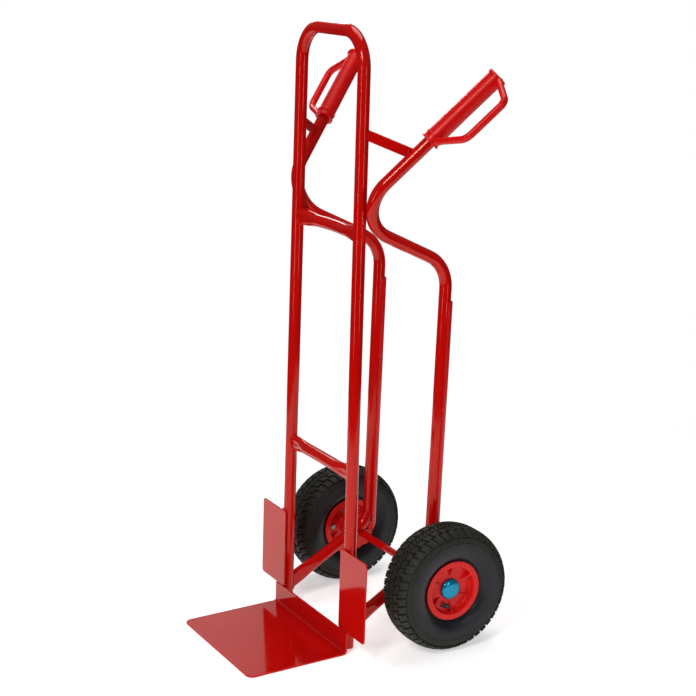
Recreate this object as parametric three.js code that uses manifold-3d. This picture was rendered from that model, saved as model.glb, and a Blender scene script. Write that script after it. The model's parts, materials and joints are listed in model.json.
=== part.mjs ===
// Two-wheeled hand truck: a bent-tube frame with loop-guard grips, a folded toe plate,
// load wings, stair skids and two pneumatic wheels on a fixed axle.
//
// Millimetres. X across the truck, Y to the rear, Z up. Left and right are those of the
// person pushing it, so left is +X. The origin is on the floor, midway between the front
// edge of the toe plate and the back of the wheels.

import * as THREE from 'three';
import { mergeVertices } from 'three/addons/utils/BufferGeometryUtils.js';
import Module from 'manifold-3d';

const wasm = await Module();
wasm.setup();

// ---------------------------------------------------------------- driving dimensions

const touchGap = 0.3; // left between pieces that touch
const weldGap = 0.8; // between plate edges that a weld bridges

const tubeRadius = 12.5;
const tubeWall = 1.8;
const tubeSides = 12;
const edgeBreak = 1; // size of a broken edge
const cutSpare = 1; // how far a cutting body reaches past what it cuts

// Front frame: an inverted U that leans back.
const frameHeight = 1245;
const footHeight = 6; // bottom of the uprights above the floor
const footHalfSpan = 131.3; // upright centre line at the floor
const taper = 0.0081; // inward run of each upright per unit of height
const leanSlope = 0.0329; // backward run per unit of height
const topBendRadius = 70;
const frameFootY = 0; // upright centre line at the floor

// Crossbars with pressed ends.
const upperBarHeight = 849.5;
const upperBarBow = 15;
const lowerBarHeight = 370.5;
const lowerBarBow = 1.5;
const pressedEndTall = 31;
const pressedEndThick = 14.5;
const pressedLength = 46;

// Side tubes: floor strut, rear tube, forward bend and handle in one piece. Each corner's
// `outset` is how far outboard of the upright's foot it lies.
const strutFootHeight = 48.4;
const strutFootInset = 2.6; // inboard of the upright's foot
const strutEndTall = 35;
const strutEndThick = 9;
const strutPressedLength = 72;
const lowerBend = { outset: -6.3, behindAxle: 16.8, aboveAxle: 29, radius: 55 };
const upperBend = { outset: -3.6, y: 226.8, z: 773.9, radius: 72.5 };
const forwardBend = { outset: 6.3, y: -2, z: 887.6, radius: 73.8 };

// Handles and grips.
const handleEnd = { outset: 129, y: 245.6, z: 1155 };
const gripLength = 176;
const gripRadius = 17.5;
const gripEndRadius = 19.6;
const gripEndThick = 5;
const collarRadius = 19.4;
const collarLength = 16;
const ridgeThick = 3.6;
const guardReach = 79; // grip axis to guard axis
const guardThick = 13;
const guardWidth = 15;
const guardTurn = 4; // degrees that the guard hangs below straight out
const guardFrontRun = 43; // along the grip, collar to the guard's front corner
const guardRearRun = 21; // along the grip, end flange to the guard's rear corner
const guardCornerRadius = 20;
const guardEdgeRadius = 5.4;
const guardHeelInset = 3.25; // guard axis in front of the end flange
const gripEndChamfer = 4;

// Flat bar from each upright to its handle.
const tieBarWidth = 20;
const tieBarThick = 5;
const tieBarUprightHeight = 1046;
const tieBarHandleRun = 36; // along the handle, below the grip collar

// Toe plate and load wings.
const plateThick = 4;
const plateOverhang = 21.7; // toe plate outboard of the upright's foot
const plateDepth = 217; // front edge to the face of the flange
const flangeHeight = 47;
const foldRadius = 5;
const plateCornerRadius = 16;
const wingThick = 3;
const wingInnerReach = 13.3; // wing inboard of the upright's foot
const wingOuterReach = 88.7; // and outboard of it
const wingTop = 217;
const wingCornerRadius = 7;

// Stair skids.
const skidTop = 700;
const skidBottomRise = 28; // full-depth end of the skid above the axle
const skidToeRise = 9; // tip of its slanted toe above the axle
const skidToeSetback = 13;
const skidWall = 3.5;

// Axle and what is on it.
const axleRadius = 8;
const axleY = 183;
const wheelRadius = 130;
const wheelOutset = 76.6; // middle of each wheel outboard of the upright's foot
const bracketThick = 6;
const bracketDrop = 27; // bracket edge below the axle centre
const bracketFront = 30; // bracket reach ahead of the axle centre
const bracketRear = 27; // and behind it
const bracketNose = { y: 18, z: 8 }; // upper front corner, ahead of and above the axle centre
const bracketChin = 6; // lower front corner below the axle centre
const bracketFoot = { front: 16.5, rear: 12.15 }; // ends of the lower edge, from the axle centre
const washerThick = 2;
const washerRim = 2; // washer outside the hub sleeve
const capWall = 5;
const capDome = 6.5;
const capSkirt = 3.4;
const spacerRadius = 12.5;
const axleTipRun = 1.6; // axle tip outboard of the outer washer
const plugLength = 16;
const plugInset = 0.6; // plug behind the end of the tube

// Wheels.
const tyreWidth = 85;
const tyreWall = 5.5;
const rimHalfWidth = 32.5;
const rimLipRadius = 62;
const rimLipThick = 3.2;
const beadRadius = 50.4;
const beadWidth = 9;
const rimLipChamfer = 2;
const rimWall = 3;
const webOffset = 18; // outer face of each web from the wheel's middle plane
const webThick = 4;
const ribCount = 6;
const ribThick = 3;
const ribInnerRadius = 28;
const ribEndRise = 2.5; // rib above the web at its inner end, and below the rim's face at its outer end
const hubWall = 6;
const hubInboard = 34; // inboard end of the hub from the wheel's middle plane
const sleeveWall = 1.6;
const rollerCount = 10;
const rollerRadius = 1.6;
const rollerGap = 0.6; // rollers to the axle and to the sleeve
const rollerLength = 40;
const cageWall = 2.4;
const cageRim = 3;
const boltCount = 3;
const boltCircle = 37;
const boltRadius = 3;
const boltHeadAcross = 10;
const boltHeadTall = 4;
const boltTipInset = 2.5; // tip of the bolt short of the outboard web
const bossWall = 3;
const innerTubeWall = 2.2;
const innerTubeGap = 1; // between the inner tube and the tyre
const innerTubeFloorInset = 12; // half width of the tube's floor inside the beads
const valveRadius = 4;
const valveAngle = -36; // about the axle, from straight down
const valveEndAngle = -22;
const valveSeatZ = 8;
const valveRise = 4.5; // tip of the stem above the web
const valveCapRadius = 5;
const valveCapLength = 9;
const valveBaseRise = 7; // base of the stem above the bead seat
const valveCornerDrop = 8; // bend of the stem inside the barrel
const valveTipDrop = 12;
const valveBend = 4;
const tyreSegments = 32;
const rimSegments = 24;
const hiddenSegments = 16; // round pieces that are out of sight

// ---------------------------------------------------------------- finishes

const paint = () => new THREE.MeshStandardMaterial({ color: 0xc41a17, roughness: 0.22, metalness: 0.1 });
const gripPlastic = () => new THREE.MeshStandardMaterial({ color: 0xd31b1c, roughness: 0.42 });
const rimPlastic = () => new THREE.MeshStandardMaterial({ color: 0xdc1f22, roughness: 0.35 });
const tyreRubber = () => new THREE.MeshStandardMaterial({ color: 0x26282a, roughness: 0.82 });
const blackRubber = () => new THREE.MeshStandardMaterial({ color: 0x17181a, roughness: 0.7 });
const blueCap = () => new THREE.MeshStandardMaterial({ color: 0x0a86b4, roughness: 0.25, metalness: 0.8 });
const zincSteel = () => new THREE.MeshStandardMaterial({ color: 0xb9bcc0, roughness: 0.35, metalness: 1 });
const nylon = () => new THREE.MeshStandardMaterial({ color: 0xe6e2d6, roughness: 0.5 });

// ---------------------------------------------------------------- solids and booleans

/** Closed geometry to a manifold-3d solid: only positions, shared corners, no empty triangles. */
function toSolid(geometry) {
  const bare = new THREE.BufferGeometry();
  bare.setAttribute('position', geometry.attributes.position.clone());
  if (geometry.index) bare.setIndex(geometry.index.clone());
  const merged = mergeVertices(bare, 1e-4);
  const corners = [];
  const index = merged.index.array;
  for (let i = 0; i < index.length; i += 3) {
    const [a, b, c] = [index[i], index[i + 1], index[i + 2]];
    if (a !== b && b !== c && c !== a) corners.push(a, b, c);
  }
  return new wasm.Manifold(
    new wasm.Mesh({
      numProp: 3,
      vertProperties: new Float32Array(merged.attributes.position.array),
      triVerts: new Uint32Array(corners),
    }),
  );
}

/** A manifold-3d solid back to a geometry. */
function toGeometry(solid) {
  const mesh = solid.getMesh();
  const geometry = new THREE.BufferGeometry();
  geometry.setAttribute('position', new THREE.BufferAttribute(new Float32Array(mesh.vertProperties), 3));
  geometry.setIndex(new THREE.BufferAttribute(new Uint32Array(mesh.triVerts), 1));
  geometry.computeVertexNormals();
  return geometry;
}

/** The body less every cutter, all given as geometries. */
function cut(body, ...cutters) {
  let solid = toSolid(body);
  for (const cutter of cutters) solid = solid.subtract(toSolid(cutter));
  return toGeometry(solid);
}

/** The bodies joined into one solid. */
function join(...bodies) {
  return toGeometry(bodies.map(toSolid).reduce((sum, next) => sum.add(next)));
}

/** A named mesh. */
function piece(name, geometry, material) {
  const mesh = new THREE.Mesh(geometry, material);
  mesh.name = name;
  return mesh;
}

/** The geometry mirrored across the plane of one axis, with its faces still pointing out. */
function mirrored(geometry, axis = 'x') {
  const scale = new THREE.Vector3(1, 1, 1).setComponent('xyz'.indexOf(axis), -1);
  const other = geometry.clone().scale(...scale.toArray());
  if (!other.index) other.setIndex([...Array(other.attributes.position.count).keys()]);
  const index = other.index.array;
  for (let i = 0; i < index.length; i += 3) [index[i], index[i + 1]] = [index[i + 1], index[i]];
  other.computeVertexNormals();
  return other;
}

// ---------------------------------------------------------------- sections and paths

/** A disc outline, with a round hole when an inner radius is given. */
function ringShape(outer, inner = 0) {
  const shape = new THREE.Shape().absarc(0, 0, outer, 0, 2 * Math.PI);
  if (inner > 0) shape.holes.push(new THREE.Path().absarc(0, 0, inner, 0, 2 * Math.PI));
  return shape;
}

/** A straight round bar or tube along Z, from z = low to z = high. */
function barAlongZ(outer, inner, low, high, sides = tubeSides) {
  const bar = new THREE.ExtrudeGeometry(ringShape(outer, inner), {
    depth: high - low,
    bevelEnabled: false,
    curveSegments: sides / 2,
  });
  return bar.translate(0, 0, low);
}

/** A rectangle with round corners, centred on the origin. */
function roundedRectangle(width, height, radius) {
  const [x, y] = [width / 2 - radius, height / 2 - radius];
  const shape = new THREE.Shape();
  shape.absarc(x, y, radius, 0, Math.PI / 2);
  shape.absarc(-x, y, radius, Math.PI / 2, Math.PI);
  shape.absarc(-x, -y, radius, Math.PI, 1.5 * Math.PI);
  shape.absarc(x, -y, radius, 1.5 * Math.PI, 2 * Math.PI);
  return shape;
}

/**
 * A path of straight runs joined by round bends, with a station only where a bend turns.
 * `side` fixes the section's first axis at the start; the bends carry it along.
 */
class BentPath extends THREE.Curve {
  constructor(corners, radii, side, stepsPerBend = 6) {
    super();
    this.points = [];
    this.tangents = [];
    this.normals = [];
    this.binormals = [];
    const tangent = corners[1].clone().sub(corners[0]).normalize();
    const normal = side.clone().addScaledVector(tangent, -side.dot(tangent)).normalize();
    this.addStation(corners[0], tangent, normal);
    for (let i = 1; i < corners.length - 1; i += 1) {
      const next = corners[i + 1].clone().sub(corners[i]).normalize();
      const turn = tangent.angleTo(next);
      if (radii[i - 1] === 0) {
        this.addStation(corners[i], tangent, normal);
        continue;
      }
      const axis = tangent.clone().cross(next).normalize();
      const start = corners[i].clone().addScaledVector(tangent, -radii[i - 1] * Math.tan(turn / 2));
      const arm = tangent.clone().cross(axis).multiplyScalar(radii[i - 1]);
      const centre = start.clone().sub(arm);
      for (let step = 0; step <= stepsPerBend; step += 1) {
        const angle = (turn * step) / stepsPerBend;
        this.addStation(
          centre.clone().add(arm.clone().applyAxisAngle(axis, angle)),
          tangent.clone().applyAxisAngle(axis, angle),
          normal.clone().applyAxisAngle(axis, angle),
        );
      }
      tangent.applyAxisAngle(axis, turn);
      normal.applyAxisAngle(axis, turn);
    }
    this.addStation(corners.at(-1), tangent, normal);
  }

  addStation(point, tangent, normal) {
    this.points.push(point.clone());
    this.tangents.push(tangent.clone());
    this.normals.push(normal.clone());
    this.binormals.push(tangent.clone().cross(normal));
  }

  getSpacedPoints() {
    return this.points;
  }

  computeFrenetFrames() {
    return { tangents: this.tangents, normals: this.normals, binormals: this.binormals };
  }
}

/** The section swept along the path. */
function sweep(shape, path, sides = tubeSides) {
  return new THREE.ExtrudeGeometry(shape, {
    steps: path.points.length - 1,
    extrudePath: path,
    curveSegments: sides / 2,
  });
}

const across = new THREE.Vector3(1, 0, 0);

/**
 * Presses a tube flat towards one end. `along` points from the end into the tube, and the
 * section grows along `tall` and thins along `thin` to the given scales at the end itself.
 */
function pressEnd(geometry, end, along, tall, thin, tallScale, thinScale, length) {
  const positions = geometry.attributes.position;
  const vertex = new THREE.Vector3();
  for (let i = 0; i < positions.count; i += 1) {
    vertex.fromBufferAttribute(positions, i).sub(end);
    const run = vertex.dot(along);
    const share = 1 - THREE.MathUtils.smoothstep(run, length * 0.25, length);
    vertex.addScaledVector(tall, vertex.dot(tall) * share * (tallScale - 1));
    vertex.addScaledVector(thin, vertex.dot(thin) * share * (thinScale - 1));
    vertex.add(end);
    positions.setXYZ(i, vertex.x, vertex.y, vertex.z);
  }
  return geometry;
}

// ---------------------------------------------------------------- places taken from the frame

const lean = Math.atan(leanSlope);
const uprightX = (z) => footHalfSpan - taper * z;
const uprightY = (z) => frameFootY + leanSlope * z;
const frontFaceY = (z) => uprightY(z) - tubeRadius / Math.cos(lean);
const axleZ = wheelRadius;
const wheelPlane = footHalfSpan + wheelOutset;
const plateWidth = 2 * (footHalfSpan + plateOverhang);
const wingInnerX = footHalfSpan - wingInnerReach;
const wingOuterX = footHalfSpan + wingOuterReach;
const skidBottom = axleZ + skidBottomRise;
const skidToeHeight = axleZ + skidToeRise;
const corner = (outset, y, z) => new THREE.Vector3(footHalfSpan + outset, y, z);
const lowerCorner = corner(lowerBend.outset, axleY + lowerBend.behindAxle, axleZ + lowerBend.aboveAxle);
const upperCorner = corner(upperBend.outset, upperBend.y, upperBend.z);
const forwardCorner = corner(forwardBend.outset, forwardBend.y, forwardBend.z);
const handleEndPoint = corner(handleEnd.outset, handleEnd.y, handleEnd.z);
const flangeFrontY = frontFaceY(0) - touchGap - plateThick / Math.cos(lean);
const toeFrontY = flangeFrontY - plateDepth;
const wheelRearY = axleY + wheelRadius;

// ---------------------------------------------------------------- front frame

const topCentreZ = frameHeight - tubeRadius;

/** Centre line of the inverted U, from the left foot over the top to the right foot. */
function frontFramePath(footZ) {
  const at = (side, z) => new THREE.Vector3(side * uprightX(z), uprightY(z), z);
  return new BentPath(
    [at(1, footZ), at(1, topCentreZ), at(-1, topCentreZ), at(-1, footZ)],
    [topBendRadius, topBendRadius],
    across,
    7,
  );
}

const frontFrameRod = sweep(ringShape(tubeRadius + touchGap), frontFramePath(0));

function frontFrame() {
  return sweep(ringShape(tubeRadius, tubeRadius - tubeWall), frontFramePath(footHeight));
}

/** A crossbar between the uprights, bowed to the rear, with pressed and coped ends. */
function crossbar(height, bow) {
  const halfSpan = uprightX(height);
  const steps = 10;
  const bar = new THREE.ExtrudeGeometry(ringShape(tubeRadius, tubeRadius - tubeWall), {
    depth: 2 * halfSpan,
    steps,
    bevelEnabled: false,
    curveSegments: tubeSides / 2,
  });
  bar.translate(0, 0, -halfSpan).rotateY(Math.PI / 2);
  const tall = new THREE.Vector3(0, 0, 1);
  const thin = new THREE.Vector3(0, 1, 0);
  for (const side of [-1, 1]) {
    const end = new THREE.Vector3(side * (halfSpan - tubeRadius), 0, 0);
    const inward = new THREE.Vector3(-side, 0, 0);
    pressEnd(
      bar,
      end,
      inward,
      tall,
      thin,
      pressedEndTall / (2 * tubeRadius),
      pressedEndThick / (2 * tubeRadius),
      pressedLength,
    );
  }
  const positions = bar.attributes.position;
  for (let i = 0; i < positions.count; i += 1) {
    const share = Math.cos((Math.PI / 2) * Math.min(1, Math.abs(positions.getX(i)) / halfSpan));
    positions.setY(i, positions.getY(i) + bow * share);
  }
  bar.rotateX(-lean).translate(0, uprightY(height), height);
  return cut(bar, frontFrameRod);
}

// ---------------------------------------------------------------- side tubes

const strutFoot = corner(-strutFootInset, uprightY(strutFootHeight), strutFootHeight);
const strutAlong = lowerCorner.clone().sub(strutFoot).normalize();
const gripAxis = handleEndPoint.clone().sub(forwardCorner).normalize();
const gripStart = handleEndPoint.clone().addScaledVector(gripAxis, -gripLength);
const handleTip = handleEndPoint.clone().addScaledVector(gripAxis, -gripEndThick - touchGap);

/** Centre line of the left side tube, from the upright's foot to the handle's tip. */
function sideTubePath() {
  const pressed = [1, 2, 3].map((step) =>
    strutFoot.clone().addScaledVector(strutAlong, tubeRadius + (strutPressedLength * step) / 3),
  );
  return new BentPath(
    [strutFoot, ...pressed, lowerCorner, upperCorner, forwardCorner, handleTip],
    [...pressed.map(() => 0), lowerBend.radius, upperBend.radius, forwardBend.radius],
    across,
  );
}

const sideTubeRod = sweep(ringShape(tubeRadius + touchGap), sideTubePath());
const axleRod = barAlongZ(axleRadius + touchGap, 0, -wheelPlane, wheelPlane)
  .rotateY(Math.PI / 2)
  .translate(0, axleY, axleZ);

function sideTube() {
  const tube = sweep(ringShape(tubeRadius, tubeRadius - tubeWall), sideTubePath());
  const tall = across.clone().cross(strutAlong).normalize();
  pressEnd(
    tube,
    strutFoot.clone().addScaledVector(strutAlong, tubeRadius),
    strutAlong,
    tall,
    across,
    strutEndTall / (2 * tubeRadius),
    strutEndThick / (2 * tubeRadius),
    strutPressedLength,
  );
  return cut(tube, frontFrameRod, axleRod);
}

/** Flat bar from the upright to the handle, coped to both tubes. */
function tieBar() {
  const upright = new THREE.Vector3(
    uprightX(tieBarUprightHeight),
    uprightY(tieBarUprightHeight),
    tieBarUprightHeight,
  );
  const handle = gripStart.clone().addScaledVector(gripAxis, -tieBarHandleRun);
  const along = handle.clone().sub(upright);
  const length = along.length();
  const bar = new THREE.BoxGeometry(length, tieBarThick, tieBarWidth);
  const xAxis = along.clone().normalize();
  const yAxis = new THREE.Vector3(0, 0, 1).cross(xAxis).normalize();
  const zAxis = xAxis.clone().cross(yAxis);
  bar.applyMatrix4(new THREE.Matrix4().makeBasis(xAxis, yAxis, zAxis));
  bar.translate(...upright.clone().add(handle).multiplyScalar(0.5).toArray());
  return cut(bar, frontFrameRod, sideTubeRod);
}

// ---------------------------------------------------------------- grips

/** Grip sleeve and knuckle guard in the grip's own frame: Z along the handle, X towards the guard. */
function grip() {
  const bore = (tubeRadius + touchGap) / Math.cos(Math.PI / tubeSides);
  const outline = [
    [bore, 0],
    [collarRadius, 0],
    [collarRadius, ridgeThick],
    [gripRadius, ridgeThick + edgeBreak],
    [gripRadius, collarLength - ridgeThick - edgeBreak],
    [collarRadius, collarLength - ridgeThick],
    [collarRadius, collarLength],
    [gripRadius, collarLength + edgeBreak],
    [gripRadius, gripLength - gripEndThick],
    [gripEndRadius, gripLength - gripEndThick + edgeBreak],
    [gripEndRadius - edgeBreak, gripLength - edgeBreak],
    [gripEndRadius - gripEndChamfer, gripLength],
    [0, gripLength],
    [0, gripLength - gripEndThick],
    [bore, gripLength - gripEndThick],
    [bore, 0],
  ].map(([radius, along]) => new THREE.Vector2(radius, along));
  const sleeve = new THREE.LatheGeometry(outline, tubeSides).rotateX(Math.PI / 2);
  const guardStart = collarLength / 2 + edgeBreak;
  const guardEnd = gripLength - gripEndThick;
  const rootRadius = (bore + gripRadius) / 2;
  const guardPath = new BentPath(
    [
      new THREE.Vector3(rootRadius, 0, guardStart),
      new THREE.Vector3(guardReach, 0, guardStart + guardFrontRun),
      new THREE.Vector3(guardReach, 0, guardEnd - guardRearRun),
      new THREE.Vector3(rootRadius, 0, guardEnd - guardHeelInset),
    ],
    [guardCornerRadius, guardCornerRadius],
    new THREE.Vector3(0, 1, 0),
    4,
  );
  const guard = sweep(roundedRectangle(guardWidth, guardThick, guardEdgeRadius), guardPath, 2);
  const boreRod = barAlongZ(bore, 0, -cutSpare, gripLength - gripEndThick);
  return join(sleeve, cut(guard, boreRod));
}

/** Places a geometry from the grip's own frame onto the left handle. */
function ontoHandle(geometry) {
  const outward = across.clone().addScaledVector(gripAxis, -across.dot(gripAxis)).normalize();
  outward.applyAxisAngle(gripAxis, THREE.MathUtils.degToRad(guardTurn));
  const upward = gripAxis.clone().cross(outward);
  geometry.applyMatrix4(new THREE.Matrix4().makeBasis(outward, upward, gripAxis));
  return geometry.translate(...gripStart.toArray());
}

// ---------------------------------------------------------------- toe plate and wings

/** Outside and inside of the fold are arcs about one centre, so the plate keeps its thickness. */
function toePlate() {
  const flangeTop = flangeHeight;
  const profile = new THREE.Shape();
  const innerFoldZ = plateThick + foldRadius;
  const frontAt = (z) => flangeFrontY + leanSlope * z;
  const centreY = frontAt(innerFoldZ) - foldRadius;
  profile.moveTo(toeFrontY, 0);
  profile.lineTo(centreY, 0);
  profile.absarc(centreY, innerFoldZ, foldRadius + plateThick, 1.5 * Math.PI, 2 * Math.PI - lean);
  profile.lineTo(frontAt(flangeTop) + plateThick, flangeTop);
  profile.lineTo(frontAt(flangeTop), flangeTop);
  profile.absarc(centreY, innerFoldZ, foldRadius, 2 * Math.PI - lean, 1.5 * Math.PI, true);
  profile.lineTo(toeFrontY, plateThick);
  return cut(lengthwisePlate(profile, plateWidth, 3), toeCorner(1), toeCorner(-1));
}

/** What a round front corner takes off the toe plate. */
function toeCorner(side) {
  const radius = plateCornerRadius;
  const spare = cutSpare;
  const shape = new THREE.Shape();
  shape.moveTo(0, 0);
  shape.absarc(-radius, radius, radius, 0, -Math.PI / 2, true);
  shape.lineTo(-radius, -spare);
  shape.lineTo(spare, -spare);
  shape.lineTo(spare, radius);
  const corner = new THREE.ExtrudeGeometry(shape, {
    depth: plateThick + 2 * spare,
    bevelEnabled: false,
    curveSegments: 4,
  });
  corner.translate(plateWidth / 2, toeFrontY, -spare);
  return side > 0 ? corner : mirrored(corner);
}

/** Load wing: a flat plate standing against the front of the upright. */
function wing() {
  const width = wingOuterX - wingInnerX;
  const bottom = flangeHeight + weldGap;
  const height = wingTop - bottom;
  const plate = new THREE.ExtrudeGeometry(roundedRectangle(width, height, wingCornerRadius), {
    depth: wingThick,
    bevelEnabled: false,
    curveSegments: 4,
  });
  plate.rotateX(Math.PI / 2).translate(width / 2, wingThick, height / 2);
  plate.rotateX(-lean);
  return plate.translate(wingInnerX, frontFaceY(bottom) - touchGap - wingThick / Math.cos(lean), bottom);
}

// ---------------------------------------------------------------- skids, brackets, plugs

const rearTubeSlope = (upperCorner.y - lowerCorner.y) / (upperCorner.z - lowerCorner.z);
const rearTubeY = (z) => lowerCorner.y + rearTubeSlope * (z - lowerCorner.z);
const skidRadius = tubeRadius + touchGap + skidWall;
const skidToeY = rearTubeY(skidToeHeight) + skidRadius - skidToeSetback;

/** A plate in the truck's lengthwise plane from its [Y, Z] outline, centred on x = 0. */
function lengthwisePlate(outline, thick, arcSteps = 12) {
  const plate = new THREE.ExtrudeGeometry(outline, {
    depth: thick,
    bevelEnabled: false,
    curveSegments: arcSteps,
  });
  plate.translate(0, 0, -thick / 2);
  const basis = new THREE.Matrix4().makeBasis(new THREE.Vector3(0, 1, 0), new THREE.Vector3(0, 0, 1), across);
  return plate.applyMatrix4(basis);
}

/** Plastic skid that wraps the back half of the rear tube; its foot is cut back at a slant. */
function skid() {
  const rearTube = upperCorner.clone().sub(lowerCorner).normalize();
  const along = (height) =>
    lowerCorner.clone().addScaledVector(rearTube, (height - lowerCorner.z) / rearTube.z);
  const path = new BentPath([along(skidToeHeight), along(skidTop)], [], across);
  const section = new THREE.Shape().absarc(0, 0, skidRadius, 0, Math.PI);
  const halfPipe = cut(sweep(section, path, 2 * tubeSides), sideTubeRod);
  const slant = new THREE.Shape();
  slant.moveTo(skidToeY, skidToeHeight - cutSpare);
  slant.lineTo(rearTubeY(skidBottom) + skidRadius, skidBottom);
  slant.lineTo(rearTubeY(skidBottom) + 2 * skidRadius, skidBottom);
  slant.lineTo(rearTubeY(skidBottom) + 2 * skidRadius, skidToeHeight - cutSpare);
  return cut(halfPipe, lengthwisePlate(slant, 3 * skidRadius).translate(lowerCorner.x, 0, 0));
}

const bracketX = lowerCorner.x;

/** Gusset under the strut that carries the axle, coped to the tube and kept below the skid's toe. */
function axleBracket() {
  const outline = new THREE.Shape();
  outline.moveTo(axleY - bracketFront, axleZ - bracketChin);
  outline.lineTo(axleY - bracketFoot.front, axleZ - bracketDrop);
  outline.lineTo(axleY + bracketFoot.rear, axleZ - bracketDrop);
  outline.lineTo(axleY + bracketRear, axleZ);
  outline.lineTo(skidToeY - weldGap, skidToeHeight - 2 * weldGap);
  outline.lineTo(axleY - bracketNose.y, axleZ + bracketNose.z);
  const plate = lengthwisePlate(outline, bracketThick);
  plate.translate(bracketX, 0, 0);
  return cut(plate, sideTubeRod, axleRod);
}

/** Plastic plug pressed into the foot of an upright. */
function footPlug() {
  const bore = tubeRadius - tubeWall - touchGap;
  const outline = [
    [0, plugInset],
    [bore - edgeBreak, plugInset],
    [bore, plugInset + edgeBreak],
    [bore, plugLength - edgeBreak],
    [bore - edgeBreak, plugLength],
    [0, plugLength],
  ].map(([radius, along]) => new THREE.Vector2(radius, along));
  return new THREE.LatheGeometry(outline, tubeSides)
    .rotateX(Math.PI / 2)
    .rotateX(-lean)
    .rotateY(-Math.atan(taper))
    .translate(uprightX(footHeight), uprightY(footHeight), footHeight);
}

// ---------------------------------------------------------------- axle hardware
// Everything from here to the wheels is in the wheel's own frame: Z along the axle,
// outboard, from the wheel's middle plane.

const washerZ = webOffset + touchGap;
const axleTipZ = washerZ + washerThick + axleTipRun;
const capRimZ = webOffset + 2 * touchGap;
const rollerCircle = axleRadius + rollerGap + rollerRadius;
const sleeveBore = rollerCircle + rollerRadius + rollerGap;
const sleeveRadius = sleeveBore + sleeveWall;
const washerRadius = sleeveRadius + washerRim;
const capBore = washerRadius + 2 * touchGap;
const capRadius = capBore + capWall;

/** A closed lathe about the wheel's axis from [radius, z] pairs. */
function turned(outline, segments = rimSegments) {
  const points = outline.map(([radius, z]) => new THREE.Vector2(radius, z));
  return new THREE.LatheGeometry(points, segments).rotateX(Math.PI / 2);
}

/** Push-on cap with a low dome that hides the axle's end. */
function retainingCap() {
  const domeZ = capRimZ + capSkirt;
  const domeSteps = 4;
  const dome = [];
  for (let i = 0; i <= domeSteps; i += 1) {
    const angle = (Math.PI / 2) * (i / domeSteps);
    dome.push([capRadius * Math.cos(angle), domeZ + capDome * Math.sin(angle)]);
  }
  dome[domeSteps][0] = 0;
  return turned([
    [0, axleTipZ + touchGap],
    [capBore, axleTipZ + touchGap],
    [capBore, capRimZ],
    [capRadius, capRimZ],
    ...dome,
  ]);
}

const outerWasher = () => barAlongZ(washerRadius, axleRadius + touchGap, washerZ, washerZ + washerThick);

const innerWasher = () =>
  barAlongZ(
    washerRadius,
    axleRadius + touchGap,
    -hubInboard - touchGap - washerThick,
    -hubInboard - touchGap,
  );

/** Sleeve that keeps the wheel off the bracket. */
function spacerSleeve() {
  const outboard = -hubInboard - 2 * touchGap - washerThick;
  const inboard = bracketX + tubeRadius + 2 * touchGap - wheelPlane;
  return barAlongZ(spacerRadius, axleRadius + touchGap, inboard, outboard);
}

function axle() {
  const halfLength = wheelPlane + axleTipZ;
  return barAlongZ(axleRadius, 0, -halfLength, halfLength).rotateY(Math.PI / 2).translate(0, axleY, axleZ);
}

// ---------------------------------------------------------------- wheel pieces

const beadZ = rimHalfWidth - rimLipThick - touchGap;
const tyreHeight = wheelRadius - beadRadius;

/** Half of the tyre's section, from bead to crown, `inset` inside the outer skin. */
function tyreHalf(inset, sectionSteps = 6) {
  const halfWidth = tyreWidth / 2;
  const skin = [
    [rimLipRadius + 2 * touchGap, beadZ],
    [beadRadius + 0.36 * tyreHeight, 0.955 * halfWidth],
    [beadRadius + 0.56 * tyreHeight, halfWidth],
    [beadRadius + 0.78 * tyreHeight, 0.955 * halfWidth],
    [beadRadius + 0.9 * tyreHeight, 0.86 * halfWidth],
    [beadRadius + 0.975 * tyreHeight, 0.56 * halfWidth],
    [wheelRadius, 0],
  ];
  const middle = beadRadius + 0.5 * tyreHeight;
  const scaleRadius = (tyreHeight / 2 - inset) / (tyreHeight / 2);
  const scaleWidth = (halfWidth - inset) / halfWidth;
  const points = skin.map(
    ([radius, z]) => new THREE.Vector2(middle + (radius - middle) * scaleRadius, z * scaleWidth),
  );
  return new THREE.SplineCurve(points).getPoints(sectionSteps).map((p) => [p.x, p.y]);
}

const mirroredHalf = (half) => half.map(([radius, z]) => [radius, -z]).reverse();

function tyre() {
  const outer = tyreHalf(0);
  const inner = tyreHalf(tyreWall);
  const bead = [
    [beadRadius, beadZ - beadWidth],
    [beadRadius, beadZ],
  ];
  const outside = [...bead, ...outer.slice(0, -1), [wheelRadius, 0]];
  const inside = [...inner.slice(0, -1), [wheelRadius - tyreWall, 0]];
  const section = [
    ...outside,
    ...mirroredHalf(outside.slice(0, -1)),
    ...mirroredHalf(inside.slice(0, -1)).reverse(),
    ...inside.slice().reverse(),
  ];
  return turned([...section, section[0]].reverse(), tyreSegments);
}

/** Half outline of the inflated tube, `inset` inside the tyre's hollow. */
function innerTubeLoop(inset) {
  const half = tyreHalf(tyreWall + innerTubeGap + inset, 4);
  const bottom = beadRadius + innerTubeGap + inset;
  const loop = [[bottom, 0], [bottom, beadZ - innerTubeFloorInset - inset], ...half];
  return [...loop, ...mirroredHalf(loop.slice(1, -1))];
}

function innerTube() {
  const outer = innerTubeLoop(0);
  const inner = innerTubeLoop(innerTubeWall);
  const skin = turned([...outer, outer[0]].reverse(), hiddenSegments);
  const hollow = turned([...inner, inner[0]].reverse(), hiddenSegments);
  return cut(skin, hollow, valveHole());
}

const polar = (radius, degrees, z) => {
  const angle = THREE.MathUtils.degToRad(degrees);
  return new THREE.Vector3(radius * Math.cos(angle), radius * Math.sin(angle), z);
};

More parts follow.
